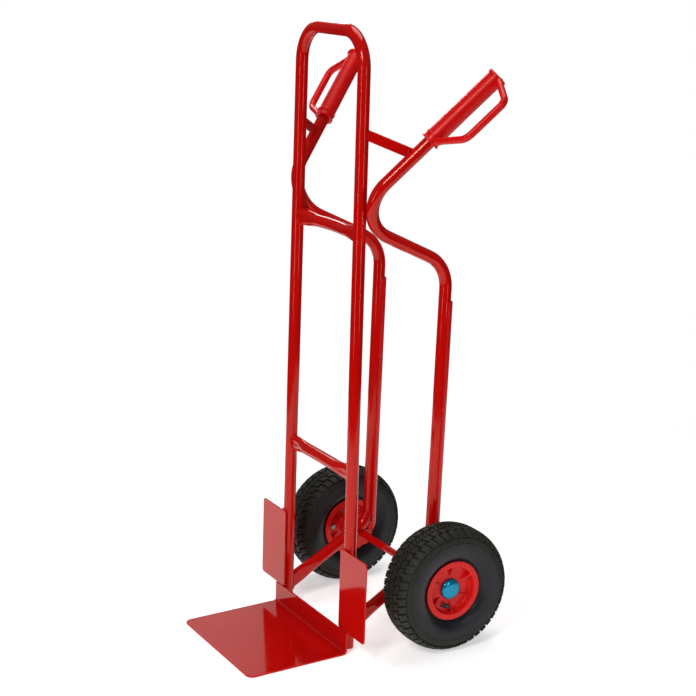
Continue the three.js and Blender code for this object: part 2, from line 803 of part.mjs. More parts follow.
const valveBase = polar(beadRadius + valveBaseRise, valveAngle, valveSeatZ);
const valveCorner = polar(beadRadius - rimWall - valveCornerDrop, valveAngle, valveSeatZ);
const valveTip = polar(beadRadius - rimWall - valveTipDrop, valveEndAngle, webOffset + valveRise);
const valveAlong = valveTip.clone().sub(valveCorner).normalize();

/** What the valve needs cut from the inner tube, the barrel and the web. */
function valveHole() {
  const inward = valveBase.clone().sub(valveCorner).normalize();
  const path = new BentPath(
    [valveBase.clone().addScaledVector(inward, valveBend), valveCorner, valveTip],
    [valveBend],
    new THREE.Vector3(0, 0, 1),
    4,
  );
  return sweep(ringShape(valveRadius + touchGap), path, 12);
}

/** Rubber-covered bent stem. */
function valve() {
  const path = new BentPath([valveBase, valveCorner, valveTip], [valveBend], new THREE.Vector3(0, 0, 1), 4);
  return sweep(ringShape(valveRadius), path, 12);
}

function valveCap() {
  const start = valveTip.clone().addScaledVector(valveAlong, touchGap);
  const path = new BentPath(
    [start, start.clone().addScaledVector(valveAlong, valveCapLength)],
    [],
    new THREE.Vector3(0, 0, 1),
  );
  return sweep(ringShape(valveCapRadius), path, 12);
}

/** One half of the rim, outboard half in +Z, with its ribs, bosses and bolt holes. */
function rimHalf(hubEnd, boltHoleEnd) {
  const barrel = beadRadius - touchGap;
  const split = touchGap / 2;
  const hubBore = sleeveRadius + touchGap;
  const hubRadius = hubBore + hubWall;
  const webIn = webOffset - webThick;
  const lipIn = rimHalfWidth - rimLipThick;
  const body = turned([
    [hubBore, split],
    [hubRadius, split],
    [hubRadius, webIn],
    [barrel - rimWall, webIn],
    [barrel - rimWall, split],
    [barrel, split],
    [barrel, lipIn],
    [rimLipRadius, lipIn],
    [rimLipRadius, rimHalfWidth - edgeBreak],
    [rimLipRadius - rimLipChamfer, rimHalfWidth],
    [barrel - rimWall, rimHalfWidth],
    [barrel - rimWall, webOffset],
    [hubRadius, webOffset],
    [hubRadius, hubEnd],
    [hubBore, hubEnd],
    [hubBore, split],
  ]);
  const extras = [];
  for (let i = 0; i < ribCount; i += 1) extras.push(rib((360 / ribCount) * i));
  const holes = [];
  for (let i = 0; i < boltCount; i += 1) {
    const [x, y] = boltPlace(i);
    const boss = barAlongZ(boltRadius + touchGap + bossWall, 0, split, webIn + cutSpare, 16);
    const hole = barAlongZ(boltRadius + touchGap, 0, split - cutSpare, boltHoleEnd, 12);
    extras.push(boss.translate(x, y, 0));
    holes.push(hole.translate(x, y, 0));
  }
  return cut(join(body, ...extras), ...holes);
}

const boltPlace = (i) => polar(boltCircle, 180 / ribCount + (360 / boltCount) * i, 0).toArray();

/** Web rib: full height at the barrel, running out towards the hub. */
function rib(degrees) {
  const outerEnd = beadRadius - touchGap - rimWall / 2;
  const shape = new THREE.Shape();
  shape.moveTo(ribInnerRadius, webOffset - cutSpare);
  shape.lineTo(outerEnd, webOffset - cutSpare);
  shape.lineTo(outerEnd, rimHalfWidth - ribEndRise);
  shape.lineTo(ribInnerRadius, webOffset + ribEndRise);
  const plate = new THREE.ExtrudeGeometry(shape, { depth: ribThick, bevelEnabled: false });
  plate.translate(0, 0, -ribThick / 2).rotateX(Math.PI / 2);
  return plate.rotateZ(THREE.MathUtils.degToRad(degrees));
}

/** A hexagonal prism, `flats` across its flats. */
const hexPrism = (flats, low, high) => barAlongZ(flats / Math.sqrt(3), 0, low, high, 6);

const boltTipZ = webOffset - webThick - boltTipInset;

/** Bolt from the inboard side into a blind boss of the outboard half. */
function rimBolt(i) {
  const [x, y] = boltPlace(i);
  const faceZ = -webOffset - touchGap;
  const head = hexPrism(boltHeadAcross, faceZ - boltHeadTall, faceZ);
  const shank = barAlongZ(boltRadius, 0, faceZ - edgeBreak, boltTipZ, 12);
  return join(head, shank).translate(x, y, 0);
}

/** Steel liner pressed into both halves of the hub. */
const hubSleeve = () => barAlongZ(sleeveRadius, sleeveBore, touchGap - hubInboard, webOffset - touchGap);

const rollersMiddle = (webOffset - hubInboard) / 2;
const rollerPlace = (i) => polar(rollerCircle, (360 / rollerCount) * i, 0).toArray();

/** Rollers that run between the axle and the liner, held in a cage, as one bearing unit. */
function rollerBearing() {
  const half = rollerLength / 2;
  const ring = [rollerCircle + cageWall / 2, rollerCircle - cageWall / 2];
  const cage = barAlongZ(...ring, rollersMiddle - half - cageRim, rollersMiddle + half + cageRim);
  const rollers = [];
  for (let i = 0; i < rollerCount; i += 1) {
    const [x, y] = rollerPlace(i);
    const roller = barAlongZ(rollerRadius, 0, rollersMiddle - half, rollersMiddle + half, 8);
    rollers.push(roller.translate(x, y, 0));
  }
  return join(cage, ...rollers);
}

/** All the pieces of one wheel, and what holds it on the axle, in the wheel's own frame. */
function wheelPieces(side) {
  const fasteners = [];
  for (let i = 0; i < boltCount; i += 1) {
    fasteners.push(piece(`${side}_wheel_rim_bolt_${i + 1}`, rimBolt(i), zincSteel()));
  }
  return [
    ...fasteners,
    piece(`${side}_wheel_tyre`, tyre(), tyreRubber()),
    piece(`${side}_wheel_inner_tube`, innerTube(), blackRubber()),
    piece(`${side}_wheel_outer_rim`, cut(rimHalf(webOffset, boltTipZ + touchGap), valveHole()), rimPlastic()),
    piece(`${side}_wheel_inner_rim`, mirrored(rimHalf(hubInboard, webOffset + cutSpare), 'z'), rimPlastic()),
    piece(`${side}_wheel_valve`, valve(), blackRubber()),
    piece(`${side}_wheel_valve_cap`, valveCap(), blackRubber()),
    piece(`${side}_wheel_hub_sleeve`, hubSleeve(), zincSteel()),
    piece(`${side}_wheel_roller_bearing`, rollerBearing(), nylon()),
    piece(`${side}_outer_washer`, outerWasher(), zincSteel()),
    piece(`${side}_inner_washer`, innerWasher(), zincSteel()),
    piece(`${side}_spacer_sleeve`, spacerSleeve(), paint()),
    piece(`${side}_axle_cap`, retainingCap(), blueCap()),
  ];
}

// ---------------------------------------------------------------- assembly

const truck = new THREE.Group();

truck.add(piece('front_frame_tube', frontFrame(), paint()));
truck.add(piece('upper_crossbar', crossbar(upperBarHeight, upperBarBow), paint()));
truck.add(piece('lower_crossbar', crossbar(lowerBarHeight, lowerBarBow), paint()));
truck.add(piece('toe_plate', toePlate(), paint()));
truck.add(piece('axle', axle(), paint()));

const onBothSides = [
  ['side_tube', sideTube(), paint],
  ['handle_tie_bar', tieBar(), paint],
  ['grip', ontoHandle(grip()), gripPlastic],
  ['wing_plate', wing(), paint],
  ['axle_bracket', axleBracket(), paint],
  ['skid_rail', skid(), rimPlastic],
  ['foot_plug', footPlug(), blackRubber],
];
for (const [name, geometry, finish] of onBothSides) {
  truck.add(piece(`left_${name}`, geometry, finish()));
  truck.add(piece(`right_${name}`, mirrored(geometry), finish()));
}

for (const [side, outward] of [['left', 1], ['right', -1]]) {
  const wheel = new THREE.Group();
  wheel.position.set(outward * wheelPlane, axleY, axleZ);
  wheel.rotation.y = (outward * Math.PI) / 2;
  for (const part of wheelPieces(side)) wheel.add(part);
  truck.add(wheel);
}

truck.position.y = -(toeFrontY + wheelRearY) / 2;

export default truck;
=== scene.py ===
"""A red two-wheeled hand truck: the smooth, finished pieces around its fixed frame model.

Everything is in metres, in the frame's own axes: +X to the left of the person who pushes
the truck, +Y to the rear and +Z up, with the floor at z = 0.
"""

import json
import logging
import math
from dataclasses import dataclass, field
from enum import Enum
from typing import Optional, Sequence

import bmesh
import bpy
from bmesh.types import BMEdge, BMesh, BMFace, BMVert
from mathutils import Matrix, Vector


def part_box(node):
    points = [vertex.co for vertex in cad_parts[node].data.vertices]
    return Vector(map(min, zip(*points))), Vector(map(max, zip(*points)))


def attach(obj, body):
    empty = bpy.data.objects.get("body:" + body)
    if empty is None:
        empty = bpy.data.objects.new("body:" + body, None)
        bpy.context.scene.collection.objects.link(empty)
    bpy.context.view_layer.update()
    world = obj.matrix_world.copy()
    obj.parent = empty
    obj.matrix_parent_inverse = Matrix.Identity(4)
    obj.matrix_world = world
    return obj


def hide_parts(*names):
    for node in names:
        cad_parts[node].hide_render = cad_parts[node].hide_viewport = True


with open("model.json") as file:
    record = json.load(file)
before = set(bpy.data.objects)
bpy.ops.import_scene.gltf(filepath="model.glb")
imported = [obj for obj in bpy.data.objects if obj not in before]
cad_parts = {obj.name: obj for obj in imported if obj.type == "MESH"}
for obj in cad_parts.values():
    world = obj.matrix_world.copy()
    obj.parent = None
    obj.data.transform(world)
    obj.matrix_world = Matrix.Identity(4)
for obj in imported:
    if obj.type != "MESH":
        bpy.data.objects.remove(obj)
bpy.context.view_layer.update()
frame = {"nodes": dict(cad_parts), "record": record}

LOG = logging.getLogger("hand_truck")
MM = 0.001
ACROSS = Vector((1.0, 0.0, 0.0))
REARWARD = Vector((0.0, 1.0, 0.0))
UP = Vector((0.0, 0.0, 1.0))
Outline = list[tuple[float, float]]

MERGE_REACH = 0.002 * MM
NOISE_LOW, NOISE_HIGH = 0.3, 0.7
WELD_CREASE = 60.0
BEAD_SIDES = 10
BEAD_END = 0.55
BEAD_RIPPLE = 0.16
BEAD_RIPPLE_TURN = 2.1
PRESS_FADE = 0.25
PRESS_HOLLOW = 0.22
PRESS_HOLLOW_HALF = 9 * MM


class Side(Enum):
    """Side of the truck, as the sign of its X."""

    LEFT = 1
    RIGHT = -1

    @property
    def word(self) -> str:
        """The side's name in lower case, as the frame's nodes have it."""
        return self.name.lower()


class Slot(Enum):
    """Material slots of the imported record."""

    RED_PAINT = "red_paint"
    GRIP_RED = "grip_red"
    RIM_RED = "rim_red"
    TYRE_RUBBER = "tyre_rubber"
    BLACK_RUBBER = "black_rubber"
    BLUE_METAL = "blue_metal"
    ZINC_STEEL = "zinc_steel"
    NYLON = "nylon"


# ------------------------------------------------------------------------------ finishes


class ShaderBench:
    """Short words for building one material's node tree."""

    def __init__(self, name: str) -> None:
        """Starts a material with a Principled shader and object coordinates.

        Args:
            name: The material's name.
        """
        self.material = bpy.data.materials.new(name)
        self.material.use_nodes = True
        self.tree = self.material.node_tree
        self.surface = self.tree.nodes["Principled BSDF"]
        self.place = self.tree.nodes.new("ShaderNodeTexCoord").outputs["Object"]

    def add(self, kind: str, inputs: dict[str, object], **settings: object) -> bpy.types.Node:
        """Adds a node, sets its properties, and fills or links its inputs.

        Args:
            kind: The node type without its ShaderNode prefix.
            inputs: Input name to a value, or to the output socket that feeds it.
            **settings: Properties of the node itself.

        Returns:
            The new node.
        """
        node = self.tree.nodes.new("ShaderNode" + kind)
        for name, value in settings.items():
            setattr(node, name, value)
        for name, value in inputs.items():
            socket = node.inputs[name]
            if isinstance(value, bpy.types.NodeSocket):
                self.tree.links.new(value, socket)
            else:
                socket.default_value = value
        return node

    def noise(self, scale: float, detail: float = 2.0, place: Optional[object] = None) -> object:
        """The value of a noise with so many cells a metre and so many octaves on top of the first."""
        inputs = {"Vector": place or self.place, "Scale": scale, "Detail": detail}
        return self.add("TexNoise", inputs).outputs["Fac"]

    def spread(self, value: object, low: float, high: float) -> object:
        """Noise's middle range stretched from low to high.

        Args:
            value: The socket to stretch.
            low: What the low end of the noise's middle range becomes.
            high: What its high end becomes.

        Returns:
            The result's socket.
        """
        inputs = {"Value": value, "To Min": low, "To Max": high}
        inputs.update({"From Min": NOISE_LOW, "From Max": NOISE_HIGH})
        return self.add("MapRange", inputs).outputs["Result"]

    def blend(self, share: object, first: Sequence[float], second: Sequence[float]) -> object:
        """Mixes two colours, or two colour sockets, by a share.

        Args:
            share: Socket or number, 0 for the first colour.
            first: Colour or socket at share 0.
            second: Colour or socket at share 1.

        Returns:
            The mixed colour's socket.
        """
        node = self.add("MixRGB", {"Fac": share})
        for name, colour in (("Color1", first), ("Color2", second)):
            if isinstance(colour, bpy.types.NodeSocket):
                self.tree.links.new(colour, node.inputs[name])
            else:
                node.inputs[name].default_value = (*colour, 1.0)
        return node.outputs["Color"]

    def relief(self, height: object, depth: float, strength: float, under: Optional[object] = None) -> object:
        """Bump from a height socket.

        Args:
            height: Height from 0 to 1.
            depth: Real depth of that height.
            strength: Share of the effect.
            under: Normal socket of a relief that lies below this one.

        Returns:
            The normal socket.
        """
        inputs = {"Height": height, "Distance": depth, "Strength": strength}
        if under is not None:
            inputs["Normal"] = under
        return self.add("Bump", inputs).outputs["Normal"]

    def feed(self, **sockets: object) -> None:
        """Links sockets to the shader's inputs, whose names are given with underscores."""
        for name, socket in sockets.items():
            self.tree.links.new(socket, self.surface.inputs[name.replace("_", " ")])

    def set(self, **values: object) -> None:
        """Sets the shader's own numbers and colours, whose names are given with underscores."""
        for name, value in values.items():
            self.surface.inputs[name.replace("_", " ")].default_value = value


@dataclass(frozen=True)
class PowderCoat:
    """Baked red powder coat: a deep red under one hard, glossy skin."""

    name: str = "red_powder_coat"
    deep: tuple[float, float, float] = (0.50, 0.0015, 0.001)
    bright: tuple[float, float, float] = (0.56, 0.003, 0.0015)
    glint: tuple[float, float, float, float] = (1.0, 0.62, 0.5, 1.0)
    skin_cells: float = 130.0
    grain_cells: float = 1500.0

    def make(self) -> bpy.types.Material:
        """Builds the material.

        Returns:
            The finished material.
        """
        bench = ShaderBench(self.name)
        patches = bench.noise(6.0, 3.0)
        bench.feed(Base_Color=bench.blend(bench.spread(patches, 0.0, 1.0), self.deep, self.bright))
        bench.feed(Roughness=bench.spread(bench.noise(30.0, 4.0), 0.06, 0.11))
        grain = bench.relief(bench.noise(self.grain_cells, 1.0), 0.02 * MM, 0.06)
        bench.feed(Normal=bench.relief(bench.noise(self.skin_cells, 0.0), 0.06 * MM, 0.1, grain))
        bench.set(IOR=1.48, Specular_Tint=self.glint)
        return bench.material


@dataclass(frozen=True)
class MouldedPlastic:
    """Red injection-moulded plastic with a faint spark-eroded grain."""

    name: str
    deep: tuple[float, float, float]
    bright: tuple[float, float, float]
    sheen_range: tuple[float, float] = (0.3, 0.4)
    glint: tuple[float, float, float, float] = (1.0, 0.5, 0.45, 1.0)
    grain_cells: float = 260.0
    grain_strength: float = 0.02

    def make(self) -> bpy.types.Material:
        """Builds the material.

        Returns:
            The finished material.
        """
        bench = ShaderBench(self.name)
        flow = bench.noise(14.0, 3.0)
        bench.feed(Base_Color=bench.blend(bench.spread(flow, 0.0, 1.0), self.deep, self.bright))
        bench.feed(Roughness=bench.spread(bench.noise(70.0, 4.0), *self.sheen_range))
        grain = bench.noise(self.grain_cells, 2.0)
        bench.feed(Normal=bench.relief(grain, 0.08 * MM, self.grain_strength))
        bench.set(Specular_IOR_Level=0.4, Specular_Tint=self.glint)
        return bench.material


@dataclass(frozen=True)
class TyreRubber:
    """Charcoal tyre rubber: a dusty, browner tread round a smooth blue-black sidewall."""

    axle_y: float
    axle_z: float
    name: str = "tyre_rubber"
    wall_dark: tuple[float, float, float] = (0.0045, 0.005, 0.0075)
    wall_pale: tuple[float, float, float] = (0.009, 0.0098, 0.013)
    tread_dark: tuple[float, float, float] = (0.0095, 0.0095, 0.0065)
    tread_dusty: tuple[float, float, float] = (0.025, 0.0245, 0.0175)
    tread_from: float = 96 * MM
    tread_full: float = 110 * MM
    wall_roughness: float = 0.3
    tread_roughness: float = 0.56

    def make(self) -> bpy.types.Material:
        """Builds the material.

        Returns:
            The finished material.
        """
        bench = ShaderBench(self.name)
        shift = {"Vector": bench.place, "Location": (0.0, -self.axle_y, -self.axle_z)}
        centred = bench.add("Mapping", shift).outputs["Vector"]
        flat = bench.add("VectorMath", {0: centred, 1: (0.0, 1.0, 1.0)}, operation="MULTIPLY")
        radius = bench.add("VectorMath", {0: flat.outputs["Vector"]}, operation="LENGTH").outputs["Value"]
        edges = {"Value": radius, "From Min": self.tread_from, "From Max": self.tread_full}
        on_tread = bench.add("MapRange", edges).outputs["Result"]
        wall = bench.blend(bench.spread(bench.noise(22.0, 5.0), 0.0, 1.0), self.wall_dark, self.wall_pale)
        dust = bench.spread(bench.noise(120.0, 6.0), 0.0, 1.0)
        tread = bench.blend(dust, self.tread_dark, self.tread_dusty)
        bench.feed(Base_Color=bench.blend(on_tread, wall, tread))
        soiled = bench.spread(bench.noise(90.0, 4.0), 0.02, 0.12)
        matte = {"Value": on_tread, "To Min": self.wall_roughness, "To Max": self.tread_roughness}
        worn = bench.add("MapRange", matte).outputs["Result"]
        rough = bench.add("Math", {0: soiled, 1: worn}, operation="ADD")
        bench.feed(Roughness=rough.outputs["Value"])
        pores = bench.relief(bench.noise(1400.0, 3.0), 0.15 * MM, 0.3)
        bench.feed(Normal=bench.relief(bench.noise(160.0, 4.0), 0.2 * MM, 0.15, pores))
        bench.set(Specular_IOR_Level=0.3)
        return bench.material


@dataclass(frozen=True)
class PlainRubber:
    """Black rubber or plastic of the small trim."""

    name: str = "black_trim_rubber"

    def make(self) -> bpy.types.Material:
        """Builds the material.

        Returns:
            The finished material.
        """
        bench = ShaderBench(self.name)
        tone = bench.spread(bench.noise(180.0, 4.0), 0.0, 1.0)
        bench.feed(Base_Color=bench.blend(tone, (0.006, 0.006, 0.007), (0.02, 0.02, 0.021)))
        bench.feed(Roughness=bench.spread(bench.noise(300.0, 2.0), 0.4, 0.6))
        bench.feed(Normal=bench.relief(bench.noise(1600.0, 2.0), 0.1 * MM, 0.25))
        return bench.material


@dataclass(frozen=True)
class StainedMetal:
    """Metal with mottled colour and fine brushing."""

    name: str
    dark: tuple[float, float, float]
    pale: tuple[float, float, float]
    gloss: tuple[float, float]
    metal: float = 1.0

    def make(self) -> bpy.types.Material:
        """Builds the material.

        Returns:
            The finished material.
        """
        bench = ShaderBench(self.name)
        mottle = bench.spread(bench.noise(150.0, 5.0), 0.0, 1.0)
        bench.feed(Base_Color=bench.blend(mottle, self.dark, self.pale))
        bench.feed(Roughness=bench.spread(bench.noise(420.0, 3.0), *self.gloss))
        drawn = bench.add("Mapping", {"Vector": bench.place, "Scale": (1.0, 1.0, 12.0)})
        lines = bench.noise(500.0, 2.0, drawn.outputs["Vector"])
        bench.feed(Normal=bench.relief(lines, 0.05 * MM, 0.15))
        bench.set(Metallic=self.metal)
        return bench.material


@dataclass(frozen=True)
class MouldedNylon:
    """Off-white nylon of the roller cage."""

    name: str = "natural_nylon"

    def make(self) -> bpy.types.Material:
        """Builds the material.

        Returns:
            The finished material.
        """
        bench = ShaderBench(self.name)
        tone = bench.spread(bench.noise(60.0, 3.0), 0.0, 1.0)
        bench.feed(Base_Color=bench.blend(tone, (0.6, 0.57, 0.48), (0.74, 0.71, 0.63)))
        bench.feed(Normal=bench.relief(bench.noise(900.0, 2.0), 0.05 * MM, 0.2))
        bench.set(Roughness=0.45)
        return bench.material


# ------------------------------------------------------------------------------ workshop


@dataclass
class Workshop:
    """Turns a bmesh into a named piece: its mesh, its finish, its body and what it stands for."""

    finishes: dict[Slot, bpy.types.Material]
    record: dict
    placed: int = 0
    _body_of: dict[str, str] = field(default_factory=dict)
    _slot_of: dict[str, str] = field(default_factory=dict)

    def __post_init__(self) -> None:
        """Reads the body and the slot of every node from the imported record."""
        for body, nodes in self.record["behaviour"]["bodies"].items():
            self._body_of.update({node: body for node in nodes})
        self._slot_of = {part["node"]: part["material_slot"] for part in self.record["subparts"]}

    def place(
        self, name: str, bm: BMesh, stands_for: Sequence[str], like: str = "", crease: float = 35.0
    ) -> None:
        """Makes the piece and frees the bmesh.

        Args:
            name: The piece's name.
            bm: Its closed shells, in the frame's axes.
            stands_for: The frame's nodes that the piece replaces.
            like: A node whose body and slot the piece takes when it replaces none.
            crease: Angle in degrees from which an edge stays sharp.
        """
        bmesh.ops.remove_doubles(bm, verts=bm.verts, dist=MERGE_REACH)
        bmesh.ops.recalc_face_normals(bm, faces=bm.faces)
        mesh = bpy.data.meshes.new(name)
        bm.to_mesh(mesh)
        bm.free()
        self.place_mesh(name, mesh, stands_for, like, crease)

    def place_mesh(
        self, name: str, mesh: bpy.types.Mesh, stands_for: Sequence[str], like: str = "", crease: float = 35.0
    ) -> None:
        """Makes the piece from a finished mesh.

        Args:
            name: The piece's name.
            mesh: The mesh, in the frame's axes.
            stands_for: The frame's nodes that the piece replaces.
            like: A node whose body and slot the piece takes when it replaces none.
            crease: Angle in degrees from which an edge stays sharp.
        """
        model = like or stands_for[0]
        slot = self._slot_of[model]
        mesh.shade_smooth()
        mesh.set_sharp_from_angle(angle=math.radians(crease))
        mesh.materials.clear()
        mesh.materials.append(self.finishes[Slot(slot)])
        made = bpy.data.objects.new(name, mesh)
        bpy.context.scene.collection.objects.link(made)
        made.modifiers.new("even_shading", "WEIGHTED_NORMAL").keep_sharp = True
        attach(made, self._body_of[model])
        if stands_for:
            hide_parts(*stands_for)
        self.placed += 1
        LOG.info("%s: %d faces, on %s", name, len(mesh.polygons), self._body_of[model])

    def dress_nodes(self) -> None:
        """Gives every node of the frame its slot's finish."""
        for name, node in frame["nodes"].items():
            node.data.materials.clear()
            node.data.materials.append(self.finishes[Slot(self._slot_of[name])])


def edges_between(verts: Sequence[BMVert]) -> list[BMEdge]:
    """The edges that have both ends among these vertices, always in the same order.

    Args:
        verts: The vertices to choose among.

    Returns:
        Those edges.
    """
    chosen = set(verts)
    edges = dict.fromkeys(edge for vert in verts for edge in vert.link_edges)
    return [edge for edge in edges if chosen.issuperset(edge.verts)]


class RingRun:
    """A bar grown ring by ring from one end, with straight pulls and bends."""

    def __init__(
        self, start: Vector, heading: Vector, radius: float, sides: int = 40, flat: float = 1.0
    ) -> None:
        """Draws the first ring.

        Args:
            start: Centre of the ring.
            heading: Direction of the bar there.
            radius: Radius of the section.
            sides: Number of flats round the section.
            flat: Scale of the section's second axis.
        """
        self.bm = bmesh.new()
        self.tip = start.copy()
        self.heading = heading.normalized()
        turn = self.heading.to_track_quat("Z", "Y").to_matrix().to_4x4()
        place = Matrix.Translation(start) @ turn @ Matrix.Diagonal((1.0, flat, 1.0, 1.0))
        made = bmesh.ops.create_circle(self.bm, segments=sides, radius=radius, matrix=place)
        self.ring = edges_between(made["verts"])
        self.first = list(self.ring)

    def pull(self, length: float, steps: int = 1, swell: float = 1.0) -> "RingRun":
        """Draws the bar out straight.

        Args:
            length: Length to add.
            steps: Number of rings over that length.
            swell: Scale of the last ring against the first.

        Returns:
            The run itself.
        """
        for _ in range(steps):
            made = bmesh.ops.extrude_edge_only(self.bm, edges=self.ring)["geom"]
            verts = [item for item in made if isinstance(item, BMVert)]
            move = self.heading * (length / steps)
            bmesh.ops.translate(self.bm, verts=verts, vec=move)
            self.tip += move
            grow = swell ** (1.0 / steps)
            centre = Matrix.Translation(-self.tip)
            bmesh.ops.scale(self.bm, verts=verts, vec=(grow, grow, grow), space=centre)
            self.ring = edges_between(verts)
        return self

    def bend(self, centre: Vector, axis: Vector, angle: float, steps: int) -> "RingRun":
        """Bends the bar round a centre.

        Args:
            centre: Centre of the bend.
            axis: Its axis.
            angle: How far it turns, in radians.
            steps: Number of rings over the bend.

        Returns:
            The run itself.
        """
        verts = dict.fromkeys(vert for edge in self.ring for vert in edge.verts)
        made = bmesh.ops.spin(
            self.bm,
            geom=[*verts, *self.ring],
            cent=centre,
            axis=axis,
            dvec=(0.0, 0.0, 0.0),
            angle=angle,
            steps=steps,
            use_merge=False,
            use_duplicate=False,
        )["geom_last"]
        self.ring = edges_between([item for item in made if isinstance(item, BMVert)])
        turn = Matrix.Rotation(angle, 3, axis)
        self.tip = centre + turn @ (self.tip - centre)
        self.heading = turn @ self.heading
        return self

    def follow(self, corners: Sequence[Vector], radii: Sequence[float], steps: int = 14) -> "RingRun":
        """Follows straight lines through the corners, each rounded with its own radius.

        Args:
            corners: The corners after the start, and the end point.
            radii: Bend radius at each corner.
            steps: Number of rings in each bend.

        Returns:
            The run itself.
        """
        for corner, after, radius in zip(corners, corners[1:], radii):
            next_way = (after - corner).normalized()
            angle = self.heading.angle(next_way)
            axis = self.heading.cross(next_way).normalized()
            self.pull((corner - self.tip).length - radius * math.tan(angle / 2))
            centre = self.tip + axis.cross(self.heading) * radius
            self.bend(centre, axis, angle, steps)
        return self.pull((corners[-1] - self.tip).length)

    def close(self) -> BMesh:
        """Caps both ends and gives the bmesh.

        Returns:
            The closed mesh.
        """
        for ring in (self.first, self.ring):
            bmesh.ops.edgeloop_fill(self.bm, edges=ring)
        return self.bm


def mirrored(bm: BMesh, side: Side) -> BMesh:
    """Mirrors a left piece across the middle of the truck for the right side.

    Args:
        bm: The mesh to work on.
        side: Which side of the truck.

    Returns:
        The mesh, mirrored where the side asks for it.
    """
    if side is Side.RIGHT:
        bmesh.ops.scale(bm, verts=bm.verts, vec=(-1.0, 1.0, 1.0))
    return bm


def merged(parts: Sequence[BMesh]) -> BMesh:
    """Gathers several bmeshes into one and frees the others.

    Args:
        parts: The meshes to join.

    Returns:
        One mesh with all of them.
    """
    whole = bmesh.new()
    for part in parts:
        mesh = bpy.data.meshes.new("part")
        part.to_mesh(mesh)
        part.free()
        whole.from_mesh(mesh)
        bpy.data.meshes.remove(mesh)
    return whole


def axes(x: Vector, y: Vector, z: Vector, origin: Vector) -> Matrix:
    """The matrix that carries the world's axes onto these three, at this origin."""
    turn = Matrix((x, y, z)).transposed().to_4x4()
    return Matrix.Translation(origin) @ turn


def lathe(outline: Sequence[tuple[float, float]], place: Matrix, steps: int = 64) -> BMesh:
    """Spins a closed outline of (radius, height) pairs about the local Z.

    Args:
        outline: Corners of the outline, in order, not repeating the first.
        place: Where the local axes stand.
        steps: Number of flats round the axis.

    Returns:
        The closed body.
    """
    bm = bmesh.new()
    verts = [bm.verts.new((radius, 0.0, height)) for radius, height in outline]
    pairs = zip(verts, [*verts[1:], verts[0]])
    edges = [bm.edges.new(pair) for pair in pairs if any(vert.co.x > 0 for vert in pair)]
    bmesh.ops.spin(
        bm,
        geom=[*verts, *edges],
        cent=(0.0, 0.0, 0.0),
        axis=UP,
        dvec=(0.0, 0.0, 0.0),
        angle=2 * math.pi,
        steps=steps,
        use_merge=True,
        use_duplicate=False,
    )
    bmesh.ops.remove_doubles(bm, verts=bm.verts, dist=MERGE_REACH)
    bmesh.ops.transform(bm, matrix=place, verts=bm.verts)
    return bm


def soften(bm: BMesh, offset: float, segments: int = 2, over: float = 40.0) -> BMesh:
    """Bevels every edge that is sharper than an angle.

    Args:
        bm: The body.
        offset: Width of the bevel.
        segments: Number of facets across it.
        over: Angle in degrees from which an edge is bevelled.

    Returns:
        The same body.
    """
    limit = math.radians(over)
    bmesh.ops.recalc_face_normals(bm, faces=bm.faces)
    edges = [e for e in bm.edges if len(e.link_faces) == 2 and e.calc_face_angle(0.0) > limit]
    bmesh.ops.bevel(
        bm,
        geom=edges,
        offset=offset,
        offset_type="OFFSET",
        segments=segments,
        profile=0.5,
        affect="EDGES",
        clamp_overlap=True,
        material=-1,
    )
    return bm


def prism(outline: Sequence[Vector], push: Vector) -> BMesh:
    """Pushes a flat outline out into a closed body.

    Args:
        outline: Corners of the outline, in order.
        push: Direction and length of the push.

    Returns:
        The closed body.
    """
    bm = bmesh.new()
    face = bm.faces.new([bm.verts.new(corner) for corner in outline])
    made = bmesh.ops.extrude_face_region(bm, geom=[face])["geom"]
    bmesh.ops.translate(bm, verts=[v for v in made if isinstance(v, BMVert)], vec=push)
    return bm


def arc(centre: Sequence[float], radius: float, start: float, end: float, steps: int) -> Outline:
    """Points on an arc, with angles in degrees, both ends included."""
    turns = [math.radians(start + (end - start) * i / steps) for i in range(steps + 1)]
    return [(centre[0] + radius * math.cos(t), centre[1] + radius * math.sin(t)) for t in turns]


def weld_bead(points: Sequence[Vector], width: float, closed: bool = False) -> BMesh:
    """A weld bead: a round cord of filler with the ripple of its own cooling.

    Args:
        points: The seam, in even steps.
        width: Width of the bead.
        closed: True when the seam runs right round.

    Returns:
        The bead as a closed body.
    """
    bm = bmesh.new()
    count = len(points)
    rings: list[list[BMEdge]] = []
    for i, centre in enumerate(points):
        ahead = points[(i + 1) % count] if closed or i + 1 < count else centre
        behind = points[i - 1] if closed or i > 0 else centre
        turn = (ahead - behind).to_track_quat("Z", "Y").to_matrix().to_4x4()
        end = 1.0 if closed else min(1.0, BEAD_END + (1.0 - BEAD_END) * min(i, count - 1 - i))
        radius = width / 2 * end * (1.0 + BEAD_RIPPLE * math.sin(i * BEAD_RIPPLE_TURN))
        place = Matrix.Translation(centre) @ turn
        made = bmesh.ops.create_circle(bm, segments=BEAD_SIDES, radius=radius, matrix=place)
        rings.append(edges_between(made["verts"]))
    pairs = zip(rings, [*rings[1:], *(rings[:1] if closed else [])])
    for ring, following in pairs:
        bmesh.ops.bridge_loops(bm, edges=[*ring, *following])
    if not closed:
        for ring in (rings[0], rings[-1]):
            bmesh.ops.edgeloop_fill(bm, edges=ring)
    return bm


def ease(value: float, low: float, high: float) -> float:
    """Smooth step from 0 at low to 1 at high."""
    share = min(1.0, max(0.0, (value - low) / (high - low)))
    return share * share * (3 - 2 * share)


